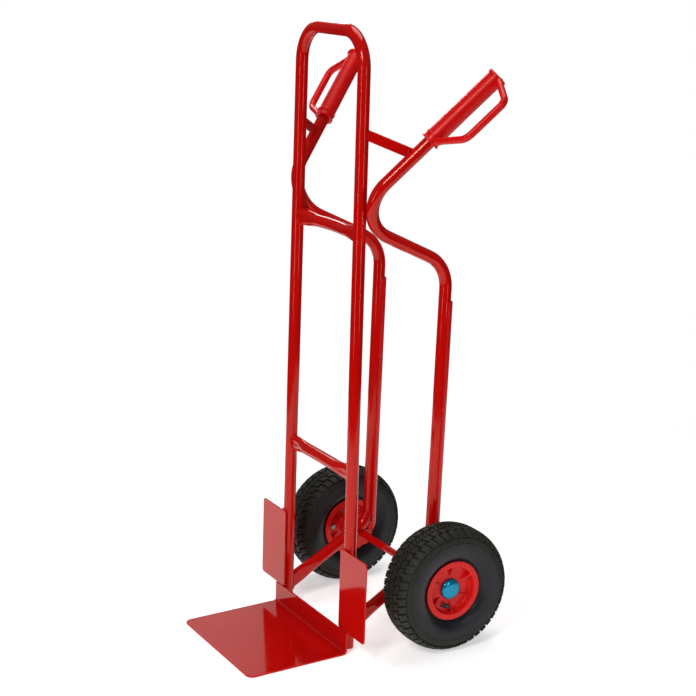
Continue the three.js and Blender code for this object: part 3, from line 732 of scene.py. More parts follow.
def press_end(
    bm: BMesh,
    end: Vector,
    along: Vector,
    tall: Vector,
    thin: Vector,
    scales: Sequence[float],
    length: float,
) -> None:
    """Presses a tube flat towards its end, with a shallow hollow down each flat.

    Args:
        bm: The tube.
        end: Centre of the tube at the pressed end.
        along: Direction from the end into the tube.
        tall: Direction in which the section grows.
        thin: Direction in which it is pressed.
        scales: Scale along tall and along thin at the end itself.
        length: Length over which the press fades out.
    """
    tall_scale, thin_scale = scales
    for vert in bm.verts:
        offset = vert.co - end
        share = 1.0 - ease(offset.dot(along), length * PRESS_FADE, length)
        height, depth = offset.dot(tall), offset.dot(thin)
        hollow = PRESS_HOLLOW * share * max(0.0, 1.0 - abs(height) / PRESS_HOLLOW_HALF) ** 2
        vert.co += tall * height * share * (tall_scale - 1.0)
        vert.co += thin * depth * (share * (thin_scale - 1.0) - hollow * thin_scale)


# ------------------------------------------------------------------------------ frame


@dataclass
class FrontFrame:
    """The leaning inverted U of bent tube, with its crossbars and foot plugs."""

    foot_y: float
    height: float
    tube_radius: float = 12.5 * MM
    foot_height: float = 6 * MM
    foot_half_span: float = 131.3 * MM
    taper: float = 0.0081
    lean_slope: float = 0.0329
    bend_radius: float = 70 * MM
    pressed_tall: float = 32 * MM
    pressed_thick: float = 14 * MM
    pressed_length: float = 58 * MM
    upper_bar: tuple[float, float] = (849.5 * MM, 15 * MM)
    lower_bar: tuple[float, float] = (370.5 * MM, 1.5 * MM)
    bar_weld_stand: float = 0.8 * MM
    bar_weld_sink: float = 0.4 * MM
    bar_weld_steps: int = 48
    plug_inset: float = 0.6 * MM
    plug_length: float = 16 * MM
    plug_edge: float = 1 * MM
    plug_under: float = 2.1 * MM
    bead_width: float = 4.6 * MM

    def upright(self, z: float) -> Vector:
        """Centre of the left upright at a height."""
        return Vector((self.foot_half_span - self.taper * z, self.foot_y + self.lean_slope * z, z))

    def front_face_y(self, z: float) -> float:
        """Front of the uprights at a height."""
        return self.foot_y + self.lean_slope * z - self.tube_radius / math.cos(self.lean)

    @property
    def lean(self) -> float:
        """Angle of the uprights from the vertical."""
        return math.atan(self.lean_slope)

    def build(self, shop: Workshop) -> None:
        """Makes every piece of the front frame.

        Args:
            shop: Where the finished pieces are placed.
        """
        self._bent_tube(shop)
        for name, (height, bow) in (("upper", self.upper_bar), ("lower", self.lower_bar)):
            self._crossbar(shop, name, height, bow)
        for side in Side:
            self._foot_plug(shop, side)

    def _bent_tube(self, shop: Workshop) -> None:
        """The one tube that makes both uprights and the top.

        Args:
            shop: Where the finished pieces are placed.
        """
        flip = Vector((-1.0, 1.0, 1.0))
        corner = self.upright(self.height - self.tube_radius)
        foot = self.upright(self.foot_height)
        run = RingRun(foot, corner - foot, self.tube_radius, 48)
        run.follow([corner, corner * flip, foot * flip], [self.bend_radius] * 2, 22)
        shop.place("bent_front_tube", run.close(), ["front_frame_tube"])

    def _crossbar(self, shop: Workshop, name: str, height: float, bow: float) -> None:
        """A bowed bar with pressed ends, and the weld beads round them.

        Args:
            shop: Where the pieces go.
            name: Which bar it is.
            height: Its height on the uprights.
            bow: How far its middle bows to the rear.
        """
        half_span = self.upright(height).x
        reach = half_span - self.tube_radius / 3
        bm = RingRun(-reach * ACROSS, ACROSS, self.tube_radius, 48).pull(2 * reach, 72).close()
        scales = (self.pressed_tall / self.tube_radius / 2, self.pressed_thick / self.tube_radius / 2)
        for sign in (-1, 1):
            end = sign * (half_span - self.tube_radius) * ACROSS
            press_end(bm, end, -sign * ACROSS, UP, REARWARD, scales, self.pressed_length)

        def bowed(x: float) -> float:
            """How far to the rear the bar's middle line is at a distance across the truck."""
            return bow * math.cos(math.pi / 2 * min(1.0, abs(x) / half_span))

        for vert in bm.verts:
            vert.co.y += bowed(vert.co.x)
        place = Matrix.Translation((0.0, self.foot_y + self.lean_slope * height, height))
        place = place @ Matrix.Rotation(-self.lean, 4, "X")
        bmesh.ops.transform(bm, matrix=place, verts=bm.verts)
        shop.place(f"pressed_{name}_bar", bm, [f"{name}_crossbar"])
        beads = []
        for sign in (-1, 1):
            seam = []
            for i in range(self.bar_weld_steps):
                turn = 2 * math.pi * i / self.bar_weld_steps
                y = (self.pressed_thick / 2 + self.bar_weld_stand) * math.cos(turn)
                z = (self.pressed_tall / 2 + self.bar_weld_stand) * math.sin(turn)
                x = half_span - self.taper * z - math.sqrt(self.tube_radius**2 - y * y) - self.bar_weld_sink
                seam.append(place @ Vector((sign * x, y + bowed(x), z)))
            beads.append(weld_bead(seam, self.bead_width, closed=True))
        shop.place(f"{name}_bar_welds", merged(beads), [], f"{name}_crossbar", WELD_CREASE)

    def _foot_plug(self, shop: Workshop, side: Side) -> None:
        """The plastic plug pressed flush into the end of an upright.

        Args:
            shop: Where the finished pieces are placed.
            side: Which side of the truck.
        """
        bore, edge, length = self.tube_radius - self.plug_under, self.plug_edge, self.plug_length
        outline = [(0.0, self.plug_inset), (bore - edge, self.plug_inset), (bore, self.plug_inset + edge)]
        outline += [(bore, length - edge), (bore - edge, length), (0.0, length)]
        foot = self.upright(self.foot_height)
        way = (self.upright(1.0) - self.upright(0.0)).normalized()
        bm = mirrored(lathe(outline, axes(ACROSS, way.cross(ACROSS), way, foot), 48), side)
        shop.place(f"{side.word}_upright_plug", bm, [f"{side.word}_foot_plug"])


@dataclass
class SideTube:
    """One side: strut, rear tube and handle in one bent tube, with what is fixed to it."""

    front: FrontFrame
    side: Side
    strut_foot_height: float = 48.4 * MM
    strut_foot_x: float = 128.7 * MM
    strut_end_tall: float = 35 * MM
    strut_end_thick: float = 9 * MM
    strut_pressed_length: float = 72 * MM
    lower_bend: tuple[float, float, float, float] = (125 * MM, 199.8 * MM, 159 * MM, 55 * MM)
    upper_bend: tuple[float, float, float, float] = (127.7 * MM, 226.8 * MM, 773.9 * MM, 72.5 * MM)
    forward_bend: tuple[float, float, float, float] = (137.6 * MM, -2 * MM, 887.6 * MM, 73.8 * MM)
    handle_end: tuple[float, float, float] = (260.3 * MM, 245.6 * MM, 1155 * MM)
    skid_top: float = 700 * MM
    skid_bottom: float = 158 * MM
    skid_toe_height: float = 139 * MM
    skid_toe_setback: float = 13 * MM
    skid_wall: float = 3.5 * MM
    tie_width: float = 20 * MM
    tie_thick: float = 5 * MM
    tie_height: float = 1046 * MM
    tie_handle_run: float = 36 * MM
    grip_length: float = 176 * MM
    tip_inset: float = 5.3 * MM
    foot_weld_steps: int = 14
    foot_weld_share: float = 0.46
    tack_span: tuple[float, float] = (842 * MM, 884 * MM)
    tack_steps: int = 11
    tack_turns: tuple[float, float] = (6.0, 106.0)
    tack_waver: float = 3.0

    def spot(self, place: Sequence[float]) -> Vector:
        """A place given from the uprights' foot line, as a point of the frame."""
        return Vector((place[0], place[1] + self.front.foot_y, place[2]))

    @property
    def grip_axis(self) -> Vector:
        """Direction of the handle, towards its end."""
        return (self.spot(self.handle_end) - self.spot(self.forward_bend)).normalized()

    @property
    def grip_start(self) -> Vector:
        """Where the grip's collar begins."""
        return self.spot(self.handle_end) - self.grip_axis * self.grip_length

    @property
    def rear_way(self) -> Vector:
        """Direction of the rear tube, upwards."""
        return (self.spot(self.upper_bend) - self.spot(self.lower_bend)).normalized()

    def rear_tube(self, z: float) -> Vector:
        """Centre of the rear tube at a height."""
        low = self.spot(self.lower_bend)
        return low + self.rear_way * ((z - low.z) / self.rear_way.z)

    def node(self, name: str) -> str:
        """The full name of a node on this side."""
        return f"{self.side.word}_{name}"

    def build(self, shop: Workshop) -> None:
        """Makes every piece of this side.

        Args:
            shop: Where the finished pieces are placed.
        """
        self._bent_tube(shop)
        self._tie_bar(shop)
        self._skid(shop)
        self._bend_weld(shop)

    def _bent_tube(self, shop: Workshop) -> None:
        """The one tube from the foot of the upright to the handle's tip.

        Args:
            shop: Where the finished pieces are placed.
        """
        radius = self.front.tube_radius
        base = self.front.upright(self.strut_foot_height)
        foot = Vector((self.strut_foot_x, base.y, base.z))
        corners = [self.spot(bend) for bend in (self.lower_bend, self.upper_bend, self.forward_bend)]
        corners.append(self.spot(self.handle_end) - self.grip_axis * self.tip_inset)
        radii = [bend[3] for bend in (self.lower_bend, self.upper_bend, self.forward_bend)]
        strut = (corners[0] - foot).normalized()
        run = RingRun(foot + strut * radius / 2, strut, radius, 48)
        run.pull(self.strut_pressed_length + radius, 26).follow(corners, radii, 18)
        bm = run.close()
        scales = (self.strut_end_tall / radius / 2, self.strut_end_thick / radius / 2)
        tall = ACROSS.cross(strut).normalized()
        press_end(bm, foot + strut * radius, strut, tall, ACROSS, scales, self.strut_pressed_length)
        shop.place(self.node("bent_side_tube"), mirrored(bm, self.side), [self.node("side_tube")])
        self._foot_weld(shop, foot, strut, tall)

    def _foot_weld(self, shop: Workshop, foot: Vector, strut: Vector, tall: Vector) -> None:
        """The bead down both sides of the strut's flattened foot.

        Args:
            shop: Where the finished pieces are placed.
            foot: Where the strut's foot ends.
            strut: Direction of the strut; not used.
            tall: The direction across the strut in which its end stays tall.
        """
        radius = self.front.tube_radius
        beads = []
        for sign in (-1, 1):
            seam = []
            for i in range(self.foot_weld_steps + 1):
                share = -1 + 2 * i / self.foot_weld_steps
                spot = foot + tall * share * self.strut_end_tall * self.foot_weld_share
                middle = self.front.upright(spot.z)
                off = sign * (self.strut_end_thick / 2 + 0.6 * MM)
                x = self.strut_foot_x + off
                y = middle.y + math.sqrt(max(0.0, radius**2 - (x - middle.x) ** 2)) + 0.3 * MM
                seam.append(Vector((x, y, spot.z)))
            beads.append(weld_bead(seam, self.front.bead_width))
        bm = mirrored(merged(beads), self.side)
        shop.place(self.node("strut_foot_welds"), bm, [], self.node("side_tube"), WELD_CREASE)

    def _bend_weld(self, shop: Workshop) -> None:
        """The two tacks where the forward bend touches the upright.

        Args:
            shop: Where the finished pieces are placed.
        """
        low, high = self.tack_span
        beads = []
        for degrees in self.tack_turns:
            seam = []
            for i in range(self.tack_steps + 1):
                middle = self.front.upright(low + (high - low) * i / self.tack_steps)
                turn = math.radians(degrees + self.tack_waver * math.sin(i * 1.7))
                seam.append(middle + Vector((math.cos(turn), math.sin(turn), 0.0)) * self.front.tube_radius)
            beads.append(weld_bead(seam, self.front.bead_width * 1.25))
        bm = mirrored(merged(beads), self.side)
        shop.place(self.node("bend_welds"), bm, [], self.node("side_tube"), WELD_CREASE)

    def _tie_bar(self, shop: Workshop) -> None:
        """The flat bar from the upright to the handle, with its weld beads.

        Args:
            shop: Where the finished pieces are placed.
        """
        start = self.front.upright(self.tie_height)
        end = self.grip_start - self.grip_axis * self.tie_handle_run
        along = (end - start).normalized()
        flat = UP.cross(along).normalized()
        tall = along.cross(flat)
        half_thick, half_width = flat * self.tie_thick / 2, tall * self.tie_width / 2
        inset = self.front.tube_radius / 2
        base = start + along * inset
        corners = [base + half_thick * a + half_width * b for a, b in ((-1, -1), (1, -1), (1, 1), (-1, 1))]
        push = along * ((end - start).length - 2 * inset)
        bm = soften(prism(corners, push), 0.9 * MM, 3)
        shop.place(self.node("flat_tie_bar"), mirrored(bm, self.side), [self.node("handle_tie_bar")])
        beads = []
        reach = self.front.tube_radius + 1.2 * MM
        for spot, way in ((start, along), (end, -along)):
            for sign in (-1, 1):
                line = spot + way * reach + flat * sign * (self.tie_thick / 2 + 0.4 * MM)
                seam = [line + tall * (self.tie_width * 0.46) * (-1 + i / 5) for i in range(11)]
                beads.append(weld_bead(seam, self.front.bead_width * 0.8))
        bm = mirrored(merged(beads), self.side)
        shop.place(self.node("tie_bar_welds"), bm, [], self.node("handle_tie_bar"), WELD_CREASE)

    def _skid(self, shop: Workshop) -> None:
        """The plastic rail that wraps the back half of the rear tube.

        Args:
            shop: Where the finished pieces are placed.
        """
        inner = self.front.tube_radius + 0.15 * MM
        outer = inner + self.skid_wall
        section = arc((0.0, 0.0), outer, 0, 180, 24) + arc((0.0, 0.0), inner, 180, 0, 20)
        start, end = self.rear_tube(self.skid_toe_height), self.rear_tube(self.skid_top)
        way = self.rear_way
        rear = way.cross(ACROSS).normalized()
        corners = [start + ACROSS * x + rear * y for x, y in section]
        bm = prism(corners, end - start)
        heel = self.rear_tube(self.skid_bottom) + rear * outer
        toe = start + rear * (outer - self.skid_toe_setback)
        cut_way = (heel - toe).normalized()
        normal = ACROSS.cross(cut_way)
        if normal.y < 0:
            normal = -normal
        geometry = [*bm.verts, *bm.edges, *bm.faces]
        cut = bmesh.ops.bisect_plane(bm, geom=geometry, plane_co=toe, plane_no=normal, clear_outer=True)
        bmesh.ops.holes_fill(bm, edges=[e for e in cut["geom_cut"] if isinstance(e, BMEdge)])
        soften(bm, 0.7 * MM, 2, 50.0)
        shop.place(self.node("stair_rail"), mirrored(bm, self.side), [self.node("skid_rail")])


@dataclass
class Grip:
    """A moulded grip: sleeve, ridged collar, end flange and knuckle guard in one piece."""

    tube: SideTube
    radius: float = 17.5 * MM
    flange_radius: float = 20.2 * MM
    flange_thick: float = 6.4 * MM
    collar_radius: float = 19.4 * MM
    collar_length: float = 16 * MM
    ridge: float = 3.6 * MM
    guard_reach: float = 79 * MM
    guard_thick: float = 13 * MM
    guard_width: float = 15 * MM
    guard_turn: float = 4.0
    front_run: float = 43 * MM
    rear_run: float = 21 * MM
    corner_radii: tuple[float, float] = (26 * MM, 17 * MM)
    root_swell: float = 1.2
    root_run: float = 14 * MM
    heel_swell: float = 1.16
    heel_run: float = 22 * MM

    def build(self, shop: Workshop) -> None:
        """Makes the grip of this side.

        Args:
            shop: Where the finished pieces are placed.
        """
        place = self._frame()
        sleeve = lathe(self._sleeve_outline(), Matrix.Identity(4), 72)
        guard = self._guard()
        for bm in (sleeve, guard):
            bmesh.ops.transform(bm, matrix=place, verts=bm.verts)
            mirrored(bm, self.tube.side)
            bmesh.ops.recalc_face_normals(bm, faces=bm.faces)
        mesh = self._fused(sleeve, guard)
        shop.place_mesh(self.tube.node("moulded_grip"), mesh, [self.tube.node("grip")], crease=38.0)

    def _frame(self) -> Matrix:
        """The grip's own axes: Z along the handle, X towards the guard.

        Returns:
            The grip's own axes.
        """
        axis = self.tube.grip_axis
        outward = (ACROSS - axis * ACROSS.dot(axis)).normalized()
        outward = Matrix.Rotation(math.radians(self.guard_turn), 3, axis) @ outward
        return axes(outward, axis.cross(outward), axis, self.tube.grip_start)

    def _sleeve_outline(self) -> Outline:
        """Half section of the sleeve's wall, from the mouth over the collar to the end.

        Returns:
            Pairs of radius and distance along the grip.
        """
        bore = self.tube.front.tube_radius + 0.15 * MM
        length, thick, soft = self.tube.grip_length, self.flange_thick, 0.9 * MM
        points = [(bore, 0.4 * MM), (bore + 0.4 * MM, 0.0)]
        for low in (0.0, self.collar_length - self.ridge):
            high = low + self.ridge
            points += arc((self.collar_radius - soft, low + soft), soft, -90, 0, 4)
            points += arc((self.collar_radius - soft, high - soft), soft, 0, 90, 4)
            points += arc((self.radius + soft, high + soft), soft, 270, 180, 3)
            if low == 0.0:
                inner_end = self.collar_length - self.ridge
                points += arc((self.radius + soft, inner_end - soft), soft, 180, 90, 3)
        foot = length - thick
        points.append((self.radius - 0.3 * MM, (self.collar_length + foot) / 2))
        points += arc((self.radius + 1.2 * MM, foot - 1.2 * MM), 1.2 * MM, 180, 90, 3)
        points += arc((self.flange_radius - soft, foot + soft), soft, -90, 0, 4)
        points += arc((self.flange_radius - 3.2 * MM, length - 3.3 * MM), 3.2 * MM, 0, 75, 7)
        points += [(9 * MM, length - 0.05 * MM), (0.0, length), (0.0, foot), (bore, foot)]
        return points

    def _guard(self) -> BMesh:
        """The flattened rod that loops from the collar to the end flange.

        Returns:
            The guard as a mesh.
        """
        root = (self.tube.front.tube_radius + self.radius) / 2
        start_z = self.collar_length / 2 + 1.5 * MM
        end_z = self.tube.grip_length - self.guard_thick / 2 + 0.2 * MM
        start = Vector((root, 0.0, start_z))
        front = Vector((self.guard_reach, 0.0, start_z + self.front_run))
        rear = Vector((self.guard_reach, 0.0, end_z - self.rear_run + 2 * MM))
        end = Vector((root, 0.0, end_z))
        root_radius, flat = self.guard_width / 2 * self.root_swell, self.guard_thick / self.guard_width
        heel = end - (end - rear).normalized() * self.heel_run
        run = RingRun(start, front - start, root_radius, 28, flat)
        run.pull(self.root_run, 6, 1 / self.root_swell)
        run.follow([front, rear, heel], self.corner_radii, 14)
        run.pull(self.heel_run, 8, self.heel_swell)
        return run.close()

    @staticmethod
    def _fused(sleeve: BMesh, guard: BMesh) -> bpy.types.Mesh:
        """Joins the guard to the sleeve as one skin.

        Args:
            sleeve: The sleeve's closed wall.
            guard: The guard's closed rod.

        Returns:
            The joined mesh.
        """
        bodies = []
        for name, bm in (("sleeve_form", sleeve), ("guard_form", guard)):
            mesh = bpy.data.meshes.new(name)
            bm.to_mesh(mesh)
            bm.free()
            bodies.append(bpy.data.objects.new(name, mesh))
            bpy.context.scene.collection.objects.link(bodies[-1])
        union = bodies[0].modifiers.new("fuse", "BOOLEAN")
        union.operation, union.solver, union.object = "UNION", "EXACT", bodies[1]
        bpy.context.view_layer.update()
        shape = bodies[0].evaluated_get(bpy.context.evaluated_depsgraph_get())
        mesh = bpy.data.meshes.new_from_object(shape)
        for body in bodies:
            bpy.data.objects.remove(body)
        return mesh


# ------------------------------------------------------------------------------ plates


@dataclass
class Plates:
    """The toe plate with its flange, the two load wings and their welds."""

    front: FrontFrame
    front_y: float
    thick: float = 4 * MM
    width: float = 306 * MM
    flange_height: float = 47 * MM
    fold_radius: float = 5 * MM
    corner_radius: float = 16 * MM
    wing_thick: float = 3 * MM
    wing_inner: float = 118 * MM
    wing_outer: float = 220 * MM
    wing_top: float = 217 * MM
    wing_corner: float = 7 * MM
    weld_gap: float = 0.8 * MM
    touch_gap: float = 0.3 * MM
    tack_half: float = 11 * MM
    tack_steps: int = 12
    tack_width: float = 4.2 * MM

    def build(self, shop: Workshop) -> None:
        """Makes the plates and their welds.

        Args:
            shop: Where the finished pieces are placed.
        """
        self._toe_plate(shop)
        for side in Side:
            self._wing(shop, side)
        self._welds(shop)

    def _toe_plate(self, shop: Workshop) -> None:
        """The load plate, folded up to its rear flange, with round front corners.

        Args:
            shop: Where the finished pieces are placed.
        """
        lean = self.front.lean
        flange_y = self.front.front_face_y(0.0) - self.touch_gap - self.thick / math.cos(lean)
        fold_z = self.thick + self.fold_radius
        centre = (flange_y + self.front.lean_slope * fold_z - self.fold_radius, fold_z)
        top_y = flange_y + self.front.lean_slope * self.flange_height
        tilt = math.degrees(lean)
        outline = [(self.front_y, 0.0)]
        outline += arc(centre, self.fold_radius + self.thick, -90, -tilt, 12)
        outline += [(top_y + self.thick, self.flange_height), (top_y, self.flange_height)]
        outline += arc(centre, self.fold_radius, -tilt, -90, 10)
        outline.append((self.front_y, self.thick))
        corners = [Vector((-self.width / 2, y, z)) for y, z in outline]
        bm = prism(corners, ACROSS * self.width)
        front = [e for e in bm.edges if self._is_front_corner(e)]
        bmesh.ops.bevel(
            bm,
            geom=front,
            offset=self.corner_radius,
            offset_type="OFFSET",
            segments=10,
            profile=0.5,
            affect="EDGES",
            material=-1,
        )
        soften(bm, 0.7 * MM, 3, 50.0)
        shop.place("folded_toe_plate", bm, ["toe_plate"])

    def _is_front_corner(self, edge: BMEdge) -> bool:
        """True for the short upright edge at each front corner of the plate."""
        at_front = all(abs(vert.co.y - self.front_y) < 0.01 * MM for vert in edge.verts)
        return at_front and abs(edge.verts[0].co.z - edge.verts[1].co.z) > self.thick / 2

    def _wing(self, shop: Workshop, side: Side) -> None:
        """One load wing, flat against the front of its upright.

        Args:
            shop: Where the finished pieces are placed.
            side: Which side of the truck.
        """
        width = self.wing_outer - self.wing_inner
        bottom = self.flange_height + self.weld_gap
        height = self.wing_top - bottom
        radius = self.wing_corner
        half_x, half_z = width / 2 - radius, height / 2 - radius
        outline = []
        for i, (sx, sz) in enumerate(((1, 1), (-1, 1), (-1, -1), (1, -1))):
            outline += arc((sx * half_x, sz * half_z), radius, 90 * i, 90 * i + 90, 8)
        corners = [Vector((x, 0.0, z)) for x, z in outline]
        bm = soften(prism(corners, REARWARD * self.wing_thick), 0.55 * MM, 3, 50.0)
        back = self.wing_thick / math.cos(self.front.lean)
        y = self.front.front_face_y(bottom) - self.touch_gap - back
        place = Matrix.Translation((self.wing_inner, y, bottom)) @ Matrix.Rotation(-self.front.lean, 4, "X")
        place = place @ Matrix.Translation((width / 2, 0.0, height / 2))
        bmesh.ops.transform(bm, matrix=place, verts=bm.verts)
        shop.place(f"{side.word}_load_wing", mirrored(bm, side), [f"{side.word}_wing_plate"])

    def _welds(self, shop: Workshop) -> None:
        """Tacks at each wing's top and foot.

        Args:
            shop: Where the finished pieces are placed.
        """
        for side in Side:
            beads = []
            for z in (self.flange_height + self.weld_gap / 2, self.wing_top + 0.6 * MM):
                middle = self.front.upright(z)
                seam = []
                for i in range(self.tack_steps + 1):
                    aside = self.tack_half * (2 * i / self.tack_steps - 1)
                    drop = math.sqrt(max(0.0, self.front.tube_radius**2 - aside**2))
                    y = max(middle.y - drop - 0.8 * MM, self.front.front_face_y(z) - 1.4 * MM)
                    seam.append(Vector((middle.x + aside, y, z)))
                beads.append(weld_bead(seam, self.tack_width))
            bm = mirrored(merged(beads), side)
            shop.place(f"{side.word}_wing_welds", bm, [], f"{side.word}_wing_plate", WELD_CREASE)


# ------------------------------------------------------------------------------ running gear


@dataclass
class AxleGear:
    """The axle, its two brackets, and what spaces and holds each wheel."""

    centre: Vector
    front: FrontFrame
    side_tube: SideTube
    wheel_plane: float
    radius: float = 8 * MM
    tip: float = 21.9 * MM
    bracket_thick: float = 6 * MM
    bracket_drop: float = 27 * MM
    bracket_front: float = 30 * MM
    bracket_rear: float = 27 * MM
    bracket_chin: float = 6 * MM
    bracket_foot: tuple[float, float] = (16.5 * MM, 12.15 * MM)
    bracket_nose: tuple[float, float] = (18 * MM, 8 * MM)
    bracket_corner: float = 4 * MM
    axle_weld_steps: int = 24
    axle_weld_width: float = 3.6 * MM
    weld_gap: float = 0.8 * MM
    washer_radius: float = 16 * MM
    washer_thick: float = 2 * MM
    spacer_radius: float = 12.5 * MM
    hub_inboard: float = 34 * MM
    web_offset: float = 18 * MM
    cap_radius: float = 21.6 * MM
    cap_dome: float = 6.5 * MM
    cap_skirt: float = 3.4 * MM
    gap: float = 0.3 * MM

    def wheel_frame(self, side: Side) -> Matrix:
        """Axes of a wheel: Z outboard along the axle, from the wheel's middle plane."""
        middle = self.centre + ACROSS * side.value * self.wheel_plane
        return Matrix.Translation(middle) @ Matrix.Rotation(side.value * math.pi / 2, 4, "Y")

    def build(self, shop: Workshop) -> None:
        """Makes the axle and all that is fixed on it.

        Args:
            shop: Where the finished pieces are placed.
        """
        half = self.wheel_plane + self.tip
        bm = RingRun(self.centre - ACROSS * half, ACROSS, self.radius, 40).pull(2 * half).close()
        shop.place("painted_axle", soften(bm, 1.0 * MM, 2, 60.0), ["axle"])
        for side in Side:
            self._bracket(shop, side)
            self._rings(shop, side)
            self._cap(shop, side)

    def _bracket(self, shop: Workshop, side: Side) -> None:
        """The gusset under the strut that carries the axle.

        Args:
            shop: Where the finished pieces are placed.
            side: Which side of the truck.
        """
        y, z = self.centre.y, self.centre.z
        toe = self.side_tube.rear_tube(self.side_tube.skid_toe_height)
        toe_y = toe.y + self.front.tube_radius + self.side_tube.skid_wall - self.side_tube.skid_toe_setback
        outline = [
            (y - self.bracket_front, z - self.bracket_chin),
            (y - self.bracket_foot[0], z - self.bracket_drop),
            (y + self.bracket_foot[1], z - self.bracket_drop),
            (y + self.bracket_rear, z),
            (toe_y - self.weld_gap, toe.z - 2 * self.weld_gap),
            (y - self.bracket_nose[0], z + self.bracket_nose[1]),
        ]
        x = self.side_tube.lower_bend[0]
        corners = [Vector((x - self.bracket_thick / 2, py, pz)) for py, pz in outline]
        bm = prism(corners, ACROSS * self.bracket_thick)
        lengthwise = [e for e in bm.edges if abs((e.verts[0].co - e.verts[1].co).x) > self.bracket_thick / 2]
        bmesh.ops.bevel(
            bm,
            geom=lengthwise,
            offset=self.bracket_corner,
            offset_type="OFFSET",
            segments=4,
            profile=0.5,
            affect="EDGES",
            material=-1,
        )
        soften(bm, 0.7 * MM, 2, 50.0)
        shop.place(f"{side.word}_axle_gusset", mirrored(bm, side), [f"{side.word}_axle_bracket"])
        beads = []
        for sign in (-1, 1):
            seam = []
            for i in range(self.axle_weld_steps):
                turn = 2 * math.pi * i / self.axle_weld_steps
                reach = self.radius + 0.9 * MM
                middle = Vector((x + sign * (self.bracket_thick / 2 + 0.5 * MM), y, z))
                seam.append(middle + Vector((0.0, math.cos(turn), math.sin(turn))) * reach)
            beads.append(weld_bead(seam, self.axle_weld_width, closed=True))
        bm = mirrored(merged(beads), side)
        shop.place(f"{side.word}_axle_welds", bm, [], f"{side.word}_axle_bracket", WELD_CREASE)

    def _ring(self, inner: float, outer: float, low: float, high: float, place: Matrix) -> BMesh:
        """A turned ring with broken edges.

        Args:
            inner: Bore radius.
            outer: Outside radius.
            low: Inboard face, in the wheel's axes.
            high: Outboard face.
            place: The wheel's axes.

        Returns:
            The ring.
        """
        edge = min(0.35 * MM, (high - low) / 4)
        outline = [(inner, low), (outer - edge, low), (outer, low + edge)]
        outline += [(outer, high - edge), (outer - edge, high), (inner, high)]
        return lathe(outline, place, 48)

    def _rings(self, shop: Workshop, side: Side) -> None:
        """The washers either side of the hub and the spacer that keeps the wheel off the gusset.

        Args:
            shop: Where the finished pieces are placed.
            side: Which side of the truck.
        """
        place, bore = self.wheel_frame(side), self.radius + self.gap
        outer_low = self.web_offset + self.gap
        inner_high = -self.hub_inboard - self.gap
        spacer_high = inner_high - self.washer_thick - self.gap
        spacer_low = self.side_tube.lower_bend[0] + self.front.tube_radius + 2 * self.gap - self.wheel_plane
        outer, inner = outer_low + self.washer_thick, inner_high - self.washer_thick
        rings = {
            "outer_washer": (self.washer_radius, outer_low, outer, "steel_washer_outer"),
            "inner_washer": (self.washer_radius, inner, inner_high, "steel_washer_inner"),
            "spacer_sleeve": (self.spacer_radius, spacer_low, spacer_high, "wheel_spacer"),
        }
        for node, (radius, low, high, name) in rings.items():
            bm = self._ring(bore, radius, low, high, place)
            shop.place(f"{side.word}_{name}", bm, [f"{side.word}_{node}"])

    def _cap(self, shop: Workshop, side: Side) -> None:
        """The domed push-on cap with its rolled rim.

        Args:
            shop: Where the finished pieces are placed.
            side: Which side of the truck.
        """
        base = self.web_offset + 2 * self.gap
        dome_z = base + self.cap_skirt
        inside = self.washer_radius + 2 * self.gap
        floor_z = self.tip + self.gap
        outline = [(inside, floor_z), (inside, base), (self.cap_radius - 0.5 * MM, base)]
        outline += [(self.cap_radius, base + 0.5 * MM), (self.cap_radius, dome_z - 0.6 * MM)]
        outline.append((self.cap_radius - 0.25 * MM, dome_z))
        steps = 12
        for i in range(1, steps + 1):
            turn = math.pi / 2 * i / steps
            rise = math.sin(turn) ** 0.9 * self.cap_dome
            outline.append((max(0.0, (self.cap_radius - 0.5 * MM) * math.cos(turn)), dome_z + rise))
        outline[-1] = (0.0, dome_z + self.cap_dome)
        outline.append((0.0, floor_z))
        bm = lathe(outline, self.wheel_frame(side), 64)
        shop.place(f"{side.word}_domed_cap", bm, [f"{side.word}_axle_cap"], crease=28.0)


